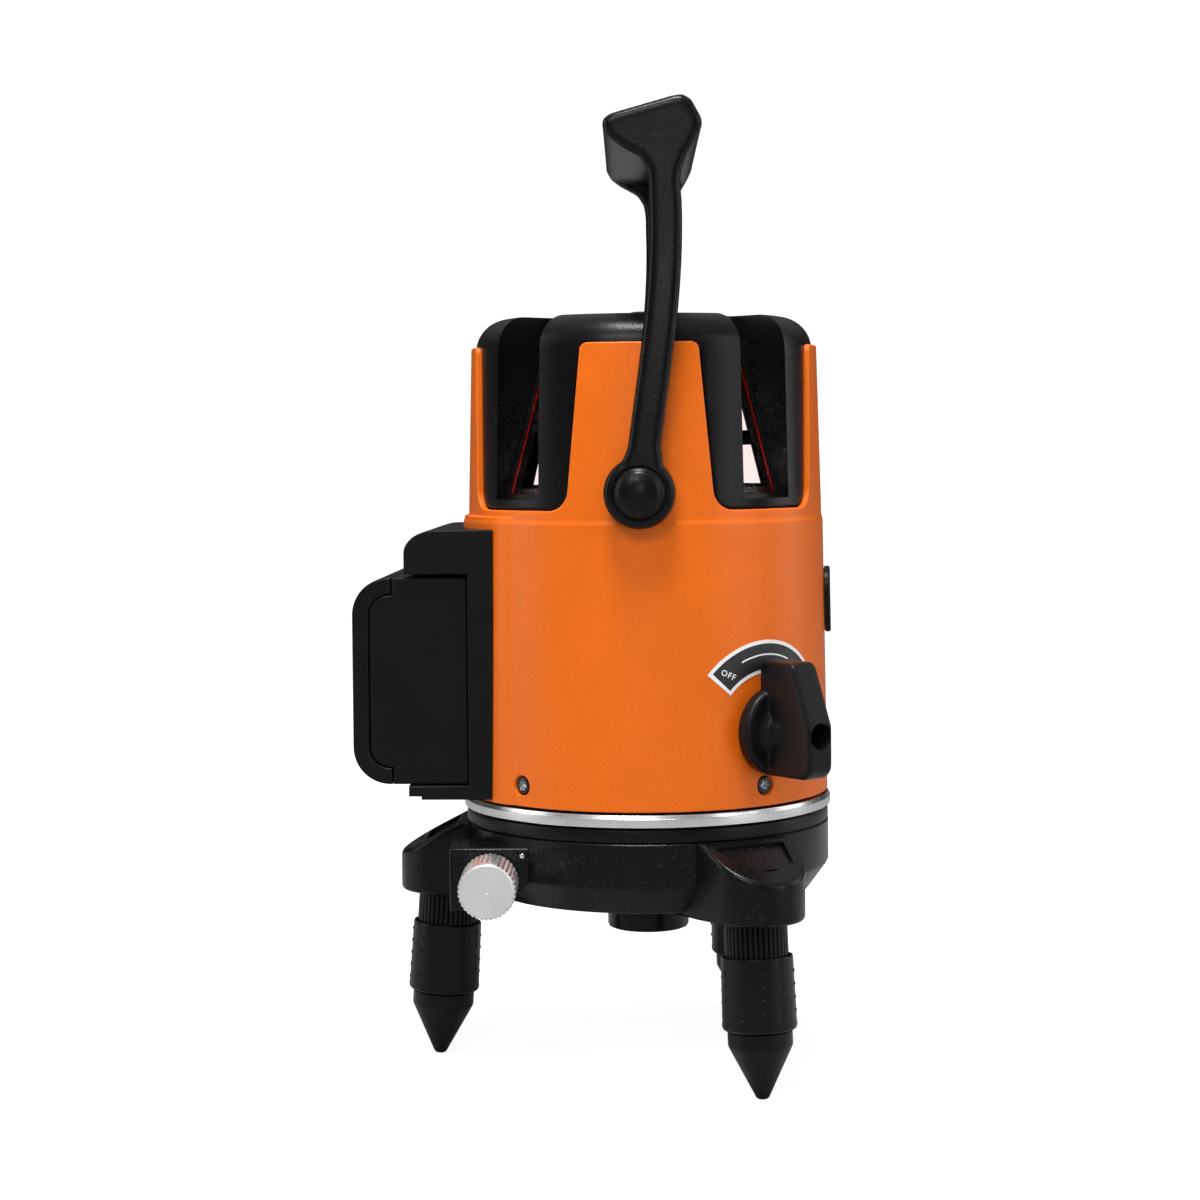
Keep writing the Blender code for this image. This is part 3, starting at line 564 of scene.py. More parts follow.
# %% Finishes for the frame's own parts
SLOT_FINISH = {"black_plastic": black_grain, "black_rubber": rubber, "orange_plastic": orange_grain,
               "aluminium": aluminium, "steel": steel, "dark_steel": dark_steel, "brass": brass,
               "copper": copper, "glass": window_clear, "nylon": nylon,
               "circuit_green": board_green, "vial_green": vial_fluid,
               "button_grey": button_grey, "cell_wrap": cell_wrap}
for name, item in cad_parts.items():
    for place in item.material_slots:
        plain = place.material.name.split(".")[0] if place.material else ""
        place.material = SLOT_FINISH.get(plain, black_soft)
print("frame materials:", len(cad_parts))


# %% Finishing a piece
def finished(name, shape, finish, body, replaced=(), smooth=32.0):
    """Makes the object of a piece in metres, at its place, riding on its body."""
    bmesh.ops.scale(shape, vec=(MM, MM, MM), verts=shape.verts)
    bmesh.ops.translate(shape, vec=AXIS, verts=shape.verts)
    mesh = bpy.data.meshes.new(name)
    shape.to_mesh(mesh)
    shape.free()
    mesh.shade_smooth()
    mesh.set_sharp_from_angle(angle=math.radians(smooth))
    for material in finish if isinstance(finish, list) else [finish]:
        mesh.materials.append(material)
    item = bpy.data.objects.new(name, mesh)
    bpy.context.scene.collection.objects.link(item)
    weighted = item.modifiers.new("even_shading", "WEIGHTED_NORMAL")
    weighted.keep_sharp = True
    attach(item, body)
    if replaced:
        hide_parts(*replaced)
    print(f"{name}: {len(mesh.polygons)} faces")
    return item


# %% [markdown]
# ## Tripod base
# The base is a die-cast drum with three arms. Each arm slopes down to its foot and
# has a shallow pocket. The drum is turned, the arms are pressed and bevelled, and a
# Boolean joins them. The base stands turned by a degree and a half.

# %% Base housing
BASE_YAW = 1.5
BODY_R, BASE_TOP, BASE_BOTTOM, BOSS_R = 50.4, 66.6, 47.3, 11.3
LEGS = (-90.0, 30.0, 150.0)
LEG_R, LEG_TILT, LEG_LIFT = 58.8, 3.8, 0.113
WORM_X, WORM_Z = -41.7, 55.5


def leg_frame(angle):
    """A frame on a leg's tilted axis: Z up the leg, its origin at the foot's point."""
    place = Matrix.Translation((0.0, -LEG_R, LEG_LIFT))
    return spun_round(angle) @ place @ Matrix.Rotation(math.radians(-LEG_TILT), 4, "X")


def leg_arm():
    """An arm towards the front, with a sloping top that has a shallow pocket."""
    outline = [(-14.5, -38.0)] + arc((0.0, -56.2), 12.8, 190.0, 350.0, 28) + [(14.5, -38.0)]
    arm = prism(outline, 46.6, BASE_TOP)
    slope = math.atan2(BASE_TOP - 57.5, 18.0)
    everything = arm.verts[:] + arm.edges[:] + arm.faces[:]
    bmesh.ops.bisect_plane(arm, geom=everything, dist=1e-5, plane_co=(0, -51.0, BASE_TOP),
                           plane_no=(0, -math.sin(slope), math.cos(slope)), clear_outer=True)
    bmesh.ops.holes_fill(arm, edges=[edge for edge in arm.edges if edge.is_boundary])
    clean(arm)
    arm = softened(arm, 1.2, lambda e: sharp(e, 18.0) and all(v.co.y < -45 for v in e.verts) and
                   abs(e.verts[0].co.z - e.verts[1].co.z) < 4.0)
    pocket = prism([(-10.6, -2.2), (10.6, -2.2), (8.4, -11.8), (-8.4, -11.8)], -1.0, 4.0)
    pocket = softened(pocket, 0.8, lambda e: abs(e.verts[0].co.z - e.verts[1].co.z) > 3.0, 3)
    lean = Matrix.Translation((0, -51.0, BASE_TOP)) @ Matrix.Rotation(slope, 4, "X")
    return cut(arm, placed(pocket, lean))


drum = turned([(0, BASE_TOP), (BODY_R - 0.4, BASE_TOP), (BODY_R, BASE_TOP - 0.4), (BODY_R, 55.4),
               (BODY_R - 0.4, 54.5), (45.0, BASE_BOTTOM + 0.4), (44.2, BASE_BOTTOM),
               (BOSS_R + 0.4, BASE_BOTTOM), (BOSS_R, BASE_BOTTOM - 0.4),
               (BOSS_R, BOSS_BOTTOM + 1.0), (BOSS_R - 0.3, BOSS_BOTTOM + 0.3),
               (BOSS_R - 1.0, BOSS_BOTTOM), (0, BOSS_BOTTOM)], 144)
for leg in LEGS:
    drum = joined(drum, placed(leg_arm(), spun_round(leg)))
knob_block = lying(pressed([(-52.6, BASE_BOTTOM + 0.05), (-38.9, BASE_BOTTOM + 0.05),
                            (-31.4, 54.6), (-31.4, 64.0), (-52.6, 64.0)], 22.0, 39.5, 0.9))
drum = joined(drum, knob_block)
shaft_way = placed(rod(2.7, 11, 44, 32), Matrix.Translation((WORM_X, 0, WORM_Z)) @ facing(0, 0, 0))
leg_ways = [placed(rod(8.75, 40, 60, 64), leg_frame(leg)) for leg in LEGS]
drum = cut(drum, rod(9.0, 30, 62.0, 64), together(leg_ways), shaft_way)
finished("base_drum", placed(drum, spun_round(BASE_YAW)), cast_black, "base",
         ["base_housing"])

# %% [markdown]
# A cover ring closes the drum, and the bright dial ring lies on it. Both are simple
# turned rings with broken edges. The tripod bush is threaded inside, and a stack of
# grooves is a fair picture of its thread.

# %% Rings and bush
cover = turned([(50.3, COVER_BOTTOM), (50.35, COVER_BOTTOM + 0.5), (50.3, 69.4), (50.1, 70.0),
                (49.6, 70.4), (49.0, COVER_TOP), (24.3, COVER_TOP), (24.3, 68.0), (44.2, 68.0),
                (44.2, COVER_BOTTOM)], 144)
finished("cover_ring", cover, black_soft, "base", ["base_cover"])
dial = turned(eased([(DIAL_R, DIAL_LOW), (DIAL_R, 73.1), (DIAL_R - 0.25, 73.1),
                     (DIAL_R - 0.6, DIAL_TOP), (39.0, DIAL_TOP), (39.0, DIAL_LOW)], 0.15, 2), 180)
finished("dial_ring_bright", dial, ring_metal, "base", ["dial_ring"])
bush_bore = []
for groove in range(14):
    base_z = 36.2 + groove * 1.35
    bush_bore += [(7.0, base_z), (7.75, base_z + 0.67)]
bush = turned([(8.7, BOSS_BOTTOM + 0.4), (8.7, 55.6), (7.0, 55.6)] +
              list(reversed(bush_bore)) + [(7.0, BOSS_BOTTOM + 0.4)], 64)
finished("threaded_bush", placed(bush, spun_round(BASE_YAW)), brass, "base", ["tripod_bush"])


# %% [markdown]
# The fine-adjustment knob is knurled in diamonds. A ring of ridges is extruded in
# short steps, and each step turns by half a ridge, so the flanks cross.

# %% Fine-adjustment knob
def diamond_knurl(radius, depth, low, high, ridges, rows):
    outline = [polar(radius - depth * (side % 2), math.pi * side / ridges)
               for side in range(ridges * 2)]
    shape = bmesh.new()
    face = shape.faces.new([shape.verts.new((x, y, low)) for x, y in outline])
    for row in range(rows):
        grown = bmesh.ops.extrude_face_region(shape, geom=[face])
        moved = [item for item in grown["geom"] if isinstance(item, bmesh.types.BMVert)]
        old, face = face, next(f for f in grown["geom"] if isinstance(f, bmesh.types.BMFace))
        bmesh.ops.translate(shape, verts=moved, vec=(0, 0, (high - low) / rows))
        bmesh.ops.rotate(shape, verts=moved, cent=(0, 0, 0),
                         matrix=Matrix.Rotation(math.pi / ridges * (1 if row % 2 else -1), 3, "Z"))
        if row:
            bmesh.ops.delete(shape, geom=[old], context="FACES_ONLY")
    return clean(shape)


knob = diamond_knurl(7.6, 0.50, 41.6, 55.6, 36, 12)
ends = turned([(0, 40.4), (6.3, 40.4), (7.05, 41.4), (7.05, 55.4), (6.85, 55.9),
               (6.7, 56.0), (1.1, 56.0), (0.5, 55.8), (0, 55.7)], 80)
neck = rod(4.6, 39.9, 40.9)
knob = joined(knob, ends, neck)
to_knob = spun_round(BASE_YAW) @ Matrix.Translation((WORM_X, 0, WORM_Z)) @ facing(0, 0, 0)
finished("fine_knob_turned", placed(knob, to_knob), faced, "fine_knob", ["fine_knob"])
pin = turned([(0, 36.0), (0.75, 36.0), (0.75, 39.8), (0.5, 40.1), (0, 40.2)], 24)
to_pin = spun_round(BASE_YAW) @ Matrix.Translation((-33.2, 0, 61.9)) @ facing(0, 0, 0)
finished("block_pin", placed(pin, to_pin), steel, "base", ())

# %% [markdown]
# ## Levelling legs
# A leg is a fluted stem with a rubber sleeve over it, and a foot that screws out.
# The flutes are pressed as one outline. The sleeve has rows of grip dots and a thin
# mould seam. All three legs share these shapes and differ only in their place.

# %% Leg shapes
FLUTES = 38
fluted = []
for flute in range(FLUTES):
    for share, reach in ((0.0, 8.35), (0.30, 8.30), (0.50, 7.80), (0.70, 8.30)):
        fluted.append(polar(reach, math.tau * (flute + share) / FLUTES))
stem_shape = joined(prism(fluted, 36.2, 50.0), rod(7.75, 18.2, 54.2, 60))
sleeve_shape = turned([(8.4, 19.0), (8.8, 18.3), (9.3, 18.2), (9.7, 18.6), (9.85, 19.3),
                       (9.72, 20.6), (9.45, 36.8), (9.3, 37.2), (9.0, 37.3), (8.75, 37.0),
                       (8.6, 35.9), (8.4, 35.7)], 96)
dots = []
for column in range(10):
    for row in range(5):
        dot = bmesh.new()
        bmesh.ops.create_uvsphere(dot, u_segments=12, v_segments=8, radius=0.55)
        bmesh.ops.scale(dot, vec=(1.0, 1.0, 0.62), verts=dot.verts)
        reach = 9.60 - row * 0.045
        height = 21.4 + row * 3.4 + (1.7 if column % 2 else 0.0)
        if height < 35.5:
            dots.append(placed(dot, facing(column * 36.0 + 12.0, reach, height)))
        else:
            dot.free()
seam = block((9.2, -0.18, 20.5), (9.78, 0.18, 36.6))
sleeve_shape = joined(sleeve_shape, together(dots), placed(seam, spun_round(-128.0)))
foot_shape = turned([(0, 0), (1.2, 0), (1.7, 0.35), (8.15, 13.3), (8.45, 14.0), (8.5, 14.6),
                     (8.5, 17.6), (8.2, 17.9), (5.0, 17.9), (5.0, 30.0), (0, 30.0)], 80)

# %% Three legs
for number, leg in enumerate(LEGS, 1):
    place = spun_round(BASE_YAW) @ leg_frame(leg)
    finished(f"leg_{number}_foot_cone", copied(foot_shape, place), black_soft,
             f"leg_{number}_foot", [f"foot_{number}"])
    finished(f"leg_{number}_fluted_stem", copied(stem_shape, place), black_soft,
             f"leg_{number}_grip", [f"stem_{number}"])
    finished(f"leg_{number}_rubber_sleeve", copied(sleeve_shape, place), rubber,
             f"leg_{number}_grip", [f"sleeve_{number}"])


# %% [markdown]
# ## Orange housing
# The housing is one moulding: a tapered sleeve whose upper edge is cut into four
# tabs. It is laid out flat first, as a sheet-metal worker would, because a flat
# outline bevels cleanly. Then the sheet is sliced into strips and bent round. A low
# pad for the battery swells out of it on the left.

# %% Window and housing outlines
SHEET_R = 50.0
PAD_TOP = 151.5
CREASE = ((HOUSING_BOTTOM, 50.3), (149.3, 49.42), (150.6, 49.05), (TAB_TOP, TAB_R_TOP))


def skin_radius(height):
    """Radius of the housing's outside at a height, without the battery pad."""
    for (low, low_r), (high, high_r) in zip(CREASE, CREASE[1:]):
        if height <= high:
            return low_r + (high_r - low_r) * (height - low) / (high - low)
    return CREASE[-1][1]


def housing_radius(height, turn):
    """The same with the pad, whose sides fade into the sleeve."""
    from_pad = abs(math.degrees(math.atan2(math.cos(turn), -math.sin(turn))))
    fade = 1.0 - part_way(from_pad, 41.5, 46.5)
    fade *= 1.0 - part_way(height, PAD_TOP - 0.4, PAD_TOP + 0.1)
    return skin_radius(height) + 1.15 * smoothed(fade)


def unrolled(across, height):
    return (SHEET_R * math.asin(across / skin_radius(height)), height)


def window_side(inset, top):
    """Right side of a window opening, bottom to top, as (across, height)."""
    low, high = 18.2 - inset, 20.9 - inset
    bottom, corner = 153.2 + inset, 5.5 - inset
    side = arc((low - corner, bottom + corner), corner, 270.0, 360.0, 10)
    if inset == 0.0:
        side += arc((high + 2.0, TAB_TOP - 2.0), 2.0, 180.0, 90.0, 6)
    else:
        side += [(high, top)]
    return side


def window_loop(inset):
    side = [unrolled(x, z) for x, z in window_side(inset, 199.0)]
    return side + [(-along, height) for along, height in reversed(side)]


# %% The bent housing
half_round = math.pi * SHEET_R
sheet = [(-half_round, HOUSING_BOTTOM), (half_round, HOUSING_BOTTOM), (half_round, TAB_TOP)]
for window in (135.0, 45.0, -45.0, -135.0):
    middle = math.radians(window) * SHEET_R
    right = [unrolled(x, z) for x, z in window_side(0.0, TAB_TOP)]
    sheet += [(middle + along, height) for along, height in reversed(right)]
    sheet += [(middle - along, height) for along, height in right]
sheet.append((-half_round, TAB_TOP))
shell = prism(sheet, -1.6, 0.0)
shell = softened(shell, 0.45, lambda e: level(e, 2, 0.0) and
                 not level(e, 0, -half_round, half_round) and sharp(e))
shell_ends = [face for face in shell.faces
              if all(abs(abs(v.co.x) - half_round) < 1e-3 for v in face.verts)]
bmesh.ops.delete(shell, geom=shell_ends, context="FACES")
strips = 160
sliced(shell, 0, [half_round * (2.0 * i / strips - 1.0) for i in range(1, strips)])
sliced(shell, 1, (149.3, 149.9, 150.6, 151.1, 151.35, PAD_TOP + 0.1))
shell = clean(bent(shell, 0.0, SHEET_R, housing_radius))
counterbore = turned([(0, 44), (1.6, 44), (1.6, 48.3), (2.55, 48.3), (2.55, 49.6), (2.9, 50.2),
                      (2.9, 56), (0, 56)], 40)
SCREWS, SCREW_Z = (40.0, -40.0, 140.0, 220.0), 80.3
LOCK_ROUND, LOCK_Z, PIVOT_Z, SOCKET_Z = 41.0, 94.9, 158.0, 126.5
holes = [copied(counterbore, facing(angle, 0.0, SCREW_Z)) for angle in SCREWS]
counterbore.free()
for radius, angle, height in ((3.4, LOCK_ROUND, LOCK_Z), (3.5, 0.0, PIVOT_Z),
                              (3.5, 180.0, PIVOT_Z), (4.1, 90.0, SOCKET_Z)):
    holes.append(placed(rod(radius, 40, 60), facing(angle, 0.0, height)))
holes.append(block((-60, -8, 100), (-40, 8, 112)))
shell = cut(shell, together(holes))
finished("orange_housing", shell, orange_grain, "instrument", ["housing"])


# %% [markdown]
# A six-lobe screw sits in each counterbore. The recess is a Boolean with an outline
# of six lobes, and it is left bright inside, where the driver has rubbed the black off.

# %% Six-lobe screws
def lobe_screw(shank, head_low, head_top, head_r):
    head = turned([(0, head_low - 6.0), (shank, head_low - 6.0), (shank, head_low),
                   (head_r, head_low), (head_r, head_top - 0.45), (head_r - 0.18, head_top - 0.12),
                   (head_r - 0.5, head_top), (0, head_top)], 48)
    lobes = [polar(1.24 + 0.21 * math.cos(6 * turn), turn)
             for turn in (math.tau * step / 72 for step in range(72))]
    screw = cut(head, prism(lobes, head_top - 1.0, head_top + 1.0))
    for face in screw.faces:
        middle = face.calc_center_median()
        recess = math.hypot(middle.x, middle.y) < 1.5 and middle.z < head_top - 0.05
        face.material_index = 1 if recess and middle.z > head_top - 1.2 else 0
    return screw


for name, angle, nodes in (("right", 40.0, ["housing_screw_right"]),
                           ("left", -40.0, ["housing_screw_left"]),
                           ("rear_right", 140.0, []), ("rear_left", 220.0, [])):
    screw = placed(lobe_screw(1.2, 48.5, 49.9, 2.3), facing(angle, 0.0, SCREW_Z))
    finished(f"screw_{name}", screw, [dark_steel, steel], "instrument", nodes)

# %% [markdown]
# ## Crown
# The black crown holds the four inclined windows. It is a turned cap with a broad
# rounded shoulder. Raised frames round the windows are pressed flat and bent like
# the housing. Deep slots are cut in to the glass, and their outer edges are eased.

# %% Crown body
CORE_R, BAND_R, BORE_R, SHOULDER = 45.9, 46.6, 43.8, 9.0
SHOULDER_Z = CROWN_TOP - SHOULDER
SLOT = 8.5


def glass_line(height, offset=0.0):
    """A point on the inclined glass plane, or moved out from it, as (radius, height)."""
    return (43.5 - 0.347 * (height - 156.0) + offset, height)


def frame_radius(height, turn):
    """Radius of the window frames' outside, which dips under the shoulder at its top."""
    straight = 47.75 + (BAND_R - 47.75) * (min(height, SHOULDER_Z) - 152.5) / 45.7
    return straight - 1.1 * max(height - SHOULDER_Z - 0.1, 0.0)


shoulder = arc((BAND_R - SHOULDER, SHOULDER_Z), SHOULDER, 0.0, 90.0, 12)
crown = turned([(0, 202.2), (BORE_R, 200.7), (BORE_R, CROWN_BOTTOM), (CORE_R, CROWN_BOTTOM),
                (CORE_R, SHOULDER_Z - 0.7), (BAND_R - 0.2, SHOULDER_Z - 0.6)] + shoulder +
               [(0, CROWN_TOP)], 120)
frames = []
for window in WINDOWS:
    plate = prism(window_loop(GAP), -3.0, 0.0)
    plate = softened(plate, 0.8, lambda e: level(e, 2, 0.0) and sharp(e))
    sliced(plate, 0, [math.radians(3.0 * i + 1.5) * SHEET_R for i in range(-10, 10)])
    sliced(plate, 1, [160.0, 170.0, 180.0, 190.0, SHOULDER_Z, SHOULDER_Z + 0.2])
    frames.append(clean(bent(plate, window, SHEET_R, frame_radius)))
crown = joined(crown, together(frames))
cell = radial_prism([glass_line(153.8, -2.7), (45.0, 153.8), (45.0, 197.0), (40.0, 203.6),
                     glass_line(203.6, -2.7)], 10.4)
crown = joined(crown, round_body(cell))
boss = placed(rod(5.5, 41, 45), facing(0, 0, PIVOT_Z))
crown = joined(crown, round_body(boss, (0.0, 180.0)))
slot = radial_prism([glass_line(156.0), (60, 156.0), (60, 212), glass_line(212)], SLOT)
crown = cut(crown, round_body(slot))
print("crown faces before easing:", len(crown.faces))


# %% Easing the slots' outer edges
def on_slot_edge(edge):
    """Whether an edge runs along the mouth of a window slot."""
    if not sharp(edge, 25.0):
        return False
    for window in WINDOWS:
        back = spun_round(-window)
        ends = [back @ v.co for v in edge.verts]
        mouth = all(-p.y > 44.5 or p.z > SHOULDER_Z - 2.0 for p in ends)
        side = all(abs(abs(p.x) - SLOT) < 0.01 for p in ends) and \
            abs(ends[0].x - ends[1].x) < 0.1
        sill = all(abs(p.z - 156.0) < 0.01 for p in ends) and all(-p.y > 46.0 for p in ends) and \
            all(abs(p.x) < SLOT + 0.01 for p in ends)
        if (mouth and side) or sill:
            return True
    return False


crown = softened(crown, 0.55, on_slot_edge, 2)
rebate = radial_prism([glass_line(157.2, 1.0), glass_line(157.2, -1.5),
                       glass_line(201.3, -1.5), glass_line(201.3, 1.0)], 7.6)
opening = radial_prism([glass_line(158.8, 1.0), glass_line(158.8, -5.0),
                        glass_line(199.4, -5.0), glass_line(199.4, 1.0)], 6.3)
crown = cut(crown, round_body(rebate), round_body(opening))
button_places = [spun_round(angle) @ Matrix.Translation((0, -14.2, 0))
                 for angle in (0.0, 120.0, 240.0)]
button_holes = [placed(rod(3.0, 196, 210, 32), place) for place in button_places]
well_wall = rod(9.0, 196.5, 203.0)
recess = turned([(0, 203.7), (21.3, 203.7), (21.3, 205.0), (21.6, 210.0), (0, 210.0)], 96)
well = rod(7.2, 198.2, 210.0)
bores = [placed(rod(3.3, 38, 50, 40), facing(angle, 0.0, PIVOT_Z)) for angle in (0.0, 180.0)]
crown = cut(joined(crown, well_wall), recess, well, together(button_holes + bores))
finished("black_crown", crown, black_grain, "instrument", ["crown"], smooth=30.0)

# %% [markdown]
# Each window is a thin pane with ground edges. The faces at its rim take the second
# material, a painted glow: the deep red of light that has travelled along the glass.

# %% Window panes
for number, window in enumerate(WINDOWS, 1):
    pane = radial_prism([glass_line(157.5, -0.2), glass_line(157.5, -1.2),
                         glass_line(201.0, -1.2), glass_line(201.0, -0.2)], 7.3)
    normal = Vector((0.0, -1.0, 0.347)).normalized()
    for face in pane.faces:
        # Rim faces take the painted red edge glow.
        face.material_index = 0 if abs(face.normal.dot(normal)) > 0.9 else 1
    finished(f"window_pane_{number}", placed(pane, spun_round(window)),
             [window_clear, painted_edge_glow], "instrument", [f"window_glass_{number}"])

# %% [markdown]
# ## Top panel
# Three buttons stand round a bull's-eye vial on a soft panel. The vial is a domed body
# of green fluid with an air bubble in it, a centring ring on it and a collar round it.

# %% Panel, buttons and vial
panel = turned(eased([(7.3, 204.0), (21.0, 204.0), (21.0, 205.7), (7.3, 205.7)], 0.35, 3), 120)
seats = [placed(rod(3.9, 200, 210), place) for place in button_places]
finished("soft_panel", cut(panel, together(seats)), rubber, "instrument", ["control_panel"])
for number, place in enumerate(button_places, 1):
    cap = turned([(0, 200.5), (2.6, 200.5), (2.6, 204.8), (3.5, 204.8), (3.5, 205.7),
                  (3.35, 206.1), (3.0, 206.4), (2.4, 206.55), (0.9, 206.5), (0, 206.45)], 48)
    finished(f"push_button_{number}", placed(cap, place), button_grey, f"button_{number}",
             [f"button_{number}"])
collar = turned(eased([(5.7, 198.5), (6.9, 198.5), (6.9, 205.7), (5.7, 205.7)], 0.3, 3), 64)
finished("vial_collar", collar, black_satin, "instrument", ["bubble_vial"])
fluid = turned([(0, 199.0), (5.5, 199.0), (5.5, 204.3), (4.6, 204.7), (3.0, 205.0),
                (0, 205.15)], 48)
finished("vial_liquid", fluid, vial_fluid, "instrument", ())
centring = turned([(2.2, 205.22), (2.45, 205.22), (2.45, 205.30), (2.2, 205.30)], 48)
finished("centring_circle", centring, print_black, "instrument")
bubble = bmesh.new()
bmesh.ops.create_uvsphere(bubble, u_segments=32, v_segments=16, radius=1.7)
bmesh.ops.scale(bubble, vec=(1.0, 1.0, 0.3), verts=bubble.verts)
bmesh.ops.translate(bubble, vec=(0.25, 0.15, 204.2), verts=bubble.verts)
finished("air_bubble", bubble, vial_lens, "instrument", ())

# %% [markdown]
# ## Carrying handle
# The bail is a soft, gently bowed moulding: two slim arms that flare into a wide
# grip. Its parts are pressed, then melted together by a voxel remesh and smoothed,
# which rounds every edge as the real tool does. The rear end is then shifted to the
# left a little, fading in above the pivots, because the bail is slightly twisted.

# %% Handle outline
ARM_IN, ARM_OUT, ARM_HALF = 49.6, 55.2, 4.3
HANDLE_LEAN, LEAN_LOW, LEAN_HIGH = 3.5, 165.0, 200.0
GRIP_TOP = [(17.0, 252.2), (16.9, 254.0), (14.2, 259.0), (12.0, 260.3), (9.5, 260.0),
            (-6.6, 255.6), (-8.5, 254.3), (-8.8, 252.3)]


def bow(height):
    """How far the arm's middle line stands forward of the pivot."""
    return 7.4 * math.sin(((height - PIVOT_Z) / 70.0) ** 1.2 * math.pi / 2.0)


def arm_outline():
    eye = arc((0.0, PIVOT_Z), 9.4, 118.0, 408.0, 60)
    heights = [170.0 + 3.0 * i for i in range(22)]
    right = [(bow(z) + ARM_HALF, z) for z in heights] + [(11.2, 238.0), (11.6, 241.0),
                                                         (12.9, 244.6), (15.4, 248.8)]
    left = [(-7.3, 249.4), (-4.6, 247.3), (0.6, 244.4), (2.5, 241.4), (3.0, 238.0)]
    return eye + right + GRIP_TOP + left + [(bow(z) - ARM_HALF, z) for z in reversed(heights)]


# %% Melted handle
grip_outline = eased(GRIP_TOP + [(-7.3, 249.4), (0.0, 247.8), (14.6, 247.8)], 1.6, 3)
grip = lying(pressed(grip_outline, -ARM_OUT + 0.05, ARM_OUT - 0.05, 3.6, 5))
parts = [grip]
for near, far in ((-ARM_OUT, -ARM_IN), (ARM_IN, ARM_OUT)):
    parts.append(lying(pressed(arm_outline(), near, far, 2.3, 5)))
bail = melted(parts, 0.55, 7)
for point in bail.verts:
    rearward = (point.co.y + ARM_OUT) / (2.0 * ARM_OUT)
    point.co.x -= HANDLE_LEAN * rearward * smoothed(part_way(point.co.z, LEAN_LOW, LEAN_HIGH))
eye_bores = [placed(turned([(0, 40), (3.4, 40), (3.4, 53.6), (7.0, 53.6), (7.0, 54.8),
                            (7.4, 55.4), (7.4, 60), (0, 60)], 64),
                    facing(angle, 0.0, PIVOT_Z)) for angle in (0.0, 180.0)]
bail = cut(bail, together(eye_bores))
finished("carrying_bail", bail, black_grain, "handle", ["handle"], smooth=45.0)
for name, angle in (("front", 0.0), ("rear", 180.0)):
    cap = turned([(0, 40.6), (3.0, 40.6), (3.0, 53.9), (6.6, 53.9), (6.6, 54.9), (6.5, 55.2),
                  (6.1, 55.4)] + arc((0, 55.4), 5.9, 9.0, 81.0, 8, 2.0) + [(0, 57.4)], 80)
    finished(f"pivot_cap_{name}", placed(cap, facing(angle, 0.0, PIVOT_Z)), black_grain,
             "instrument", [f"pivot_screw_{name}"])

# %% [markdown]
# ## Battery pack
# A bracket is fast on the housing's pad. The pack hangs on it: a matt case, and over
# its outer end a thin C-shaped cover that shows a fine parting line.

# %% Bracket
BRACKET_LOW, BRACKET_TOP, BRACKET_Y = 75.6, 148.0, 31.9
bracket_outline = [(-40.0, BRACKET_LOW), (-59.8, BRACKET_LOW), (-59.8, BRACKET_LOW + 0.9),
                   (-63.2, BRACKET_LOW + 0.9), (-63.2, 79.3), (-47.0, 79.3), (-47.0, 136.2),
                   (-64.0, 136.2)]
bracket_outline += arc((-55.4, 141.8), 8.6, 180.0, 90.0, 15, 6.2) + [(-40.0, BRACKET_TOP)]
bracket = lying(pressed(bracket_outline, -BRACKET_Y, BRACKET_Y, 0.7))
saddle = turned([(50.0, 77.0), (54.5, 77.0), (54.5, 140.0), (50.0, 140.0)], 160)
saddle = boolean(saddle, block((-80, -29.0, 60), (-40, 29.0, 160)), "INTERSECT")
bracket = joined(bracket, saddle)
seat = turned([(0, 60), (51.5 + GAP, 60), (51.5 + GAP, HOUSING_BOTTOM), (50.4 + GAP, 151.0),
               (0, 170)], 160)
bracket = cut(bracket, seat, block((-70, -10.4, 70), (-56.4, 10.4, 79.9)),
              block((-60, -8, 100), (-45, 8, 112)))
finished("battery_cradle", bracket, black_satin, "instrument", ["battery_bracket"])

# %% Case, cover and latch
PACK_LEFT, PACK_LOW, PACK_TOP, PACK_BACK = -78.3, 79.6, 135.2, 54.8
SPLIT_X, PACK_Y = -67.8, 30.0


def shell_outline(offset):
    """Left side of the battery pack's outline, inset from its outside."""
    corner = 10.0 - offset
    left = PACK_LEFT + offset
    low, high = PACK_LOW + offset, PACK_TOP - offset
    lower = arc((left + corner, low + corner), corner, 270.0, 180.0, 16)
    upper = arc((left + corner, high - corner), corner, 180.0, 90.0, 16)
    return [(SPLIT_X, low)] + lower + upper + [(SPLIT_X, high)]


inner = shell_outline(4.4 + GAP)
case_outline = [(-47.3, PACK_LOW), (SPLIT_X + GAP, PACK_LOW), (SPLIT_X + GAP, inner[0][1])]
case_outline += inner[1:-1]
case_outline += [(SPLIT_X + GAP, inner[-1][1]), (SPLIT_X + GAP, PACK_TOP), (-47.3, PACK_TOP)]
case = lying(pressed(case_outline, -PACK_Y, PACK_Y, 0.45))
case = cut(case, rod(PACK_BACK, 60, 160, 160), block((-80, -27.2, 85.4), (-57.2, 27.2, 129.4)))
finished("battery_box", case, black_satin, "battery", ["battery_case"])
cover_outline = shell_outline(0.0) + list(reversed(shell_outline(4.4)))
finished("battery_cap", lying(pressed(cover_outline, -PACK_Y, PACK_Y, 0.7)), black_soft,
         "battery", ["battery_cover"])
latch = lying(pressed([(-63.2, 76.4), (-56.8, 76.4), (-56.8, 79.2), (-63.2, 79.2)], -10.0, 10.0,
                      0.6))
ribs = [block((-62.6 + 1.3 * i, -7.0, 76.1), (-62.0 + 1.3 * i, 7.0, 76.9)) for i in range(4)]
finished("latch_tab", joined(latch, together(ribs)), black_satin, "latch", ["battery_latch"])

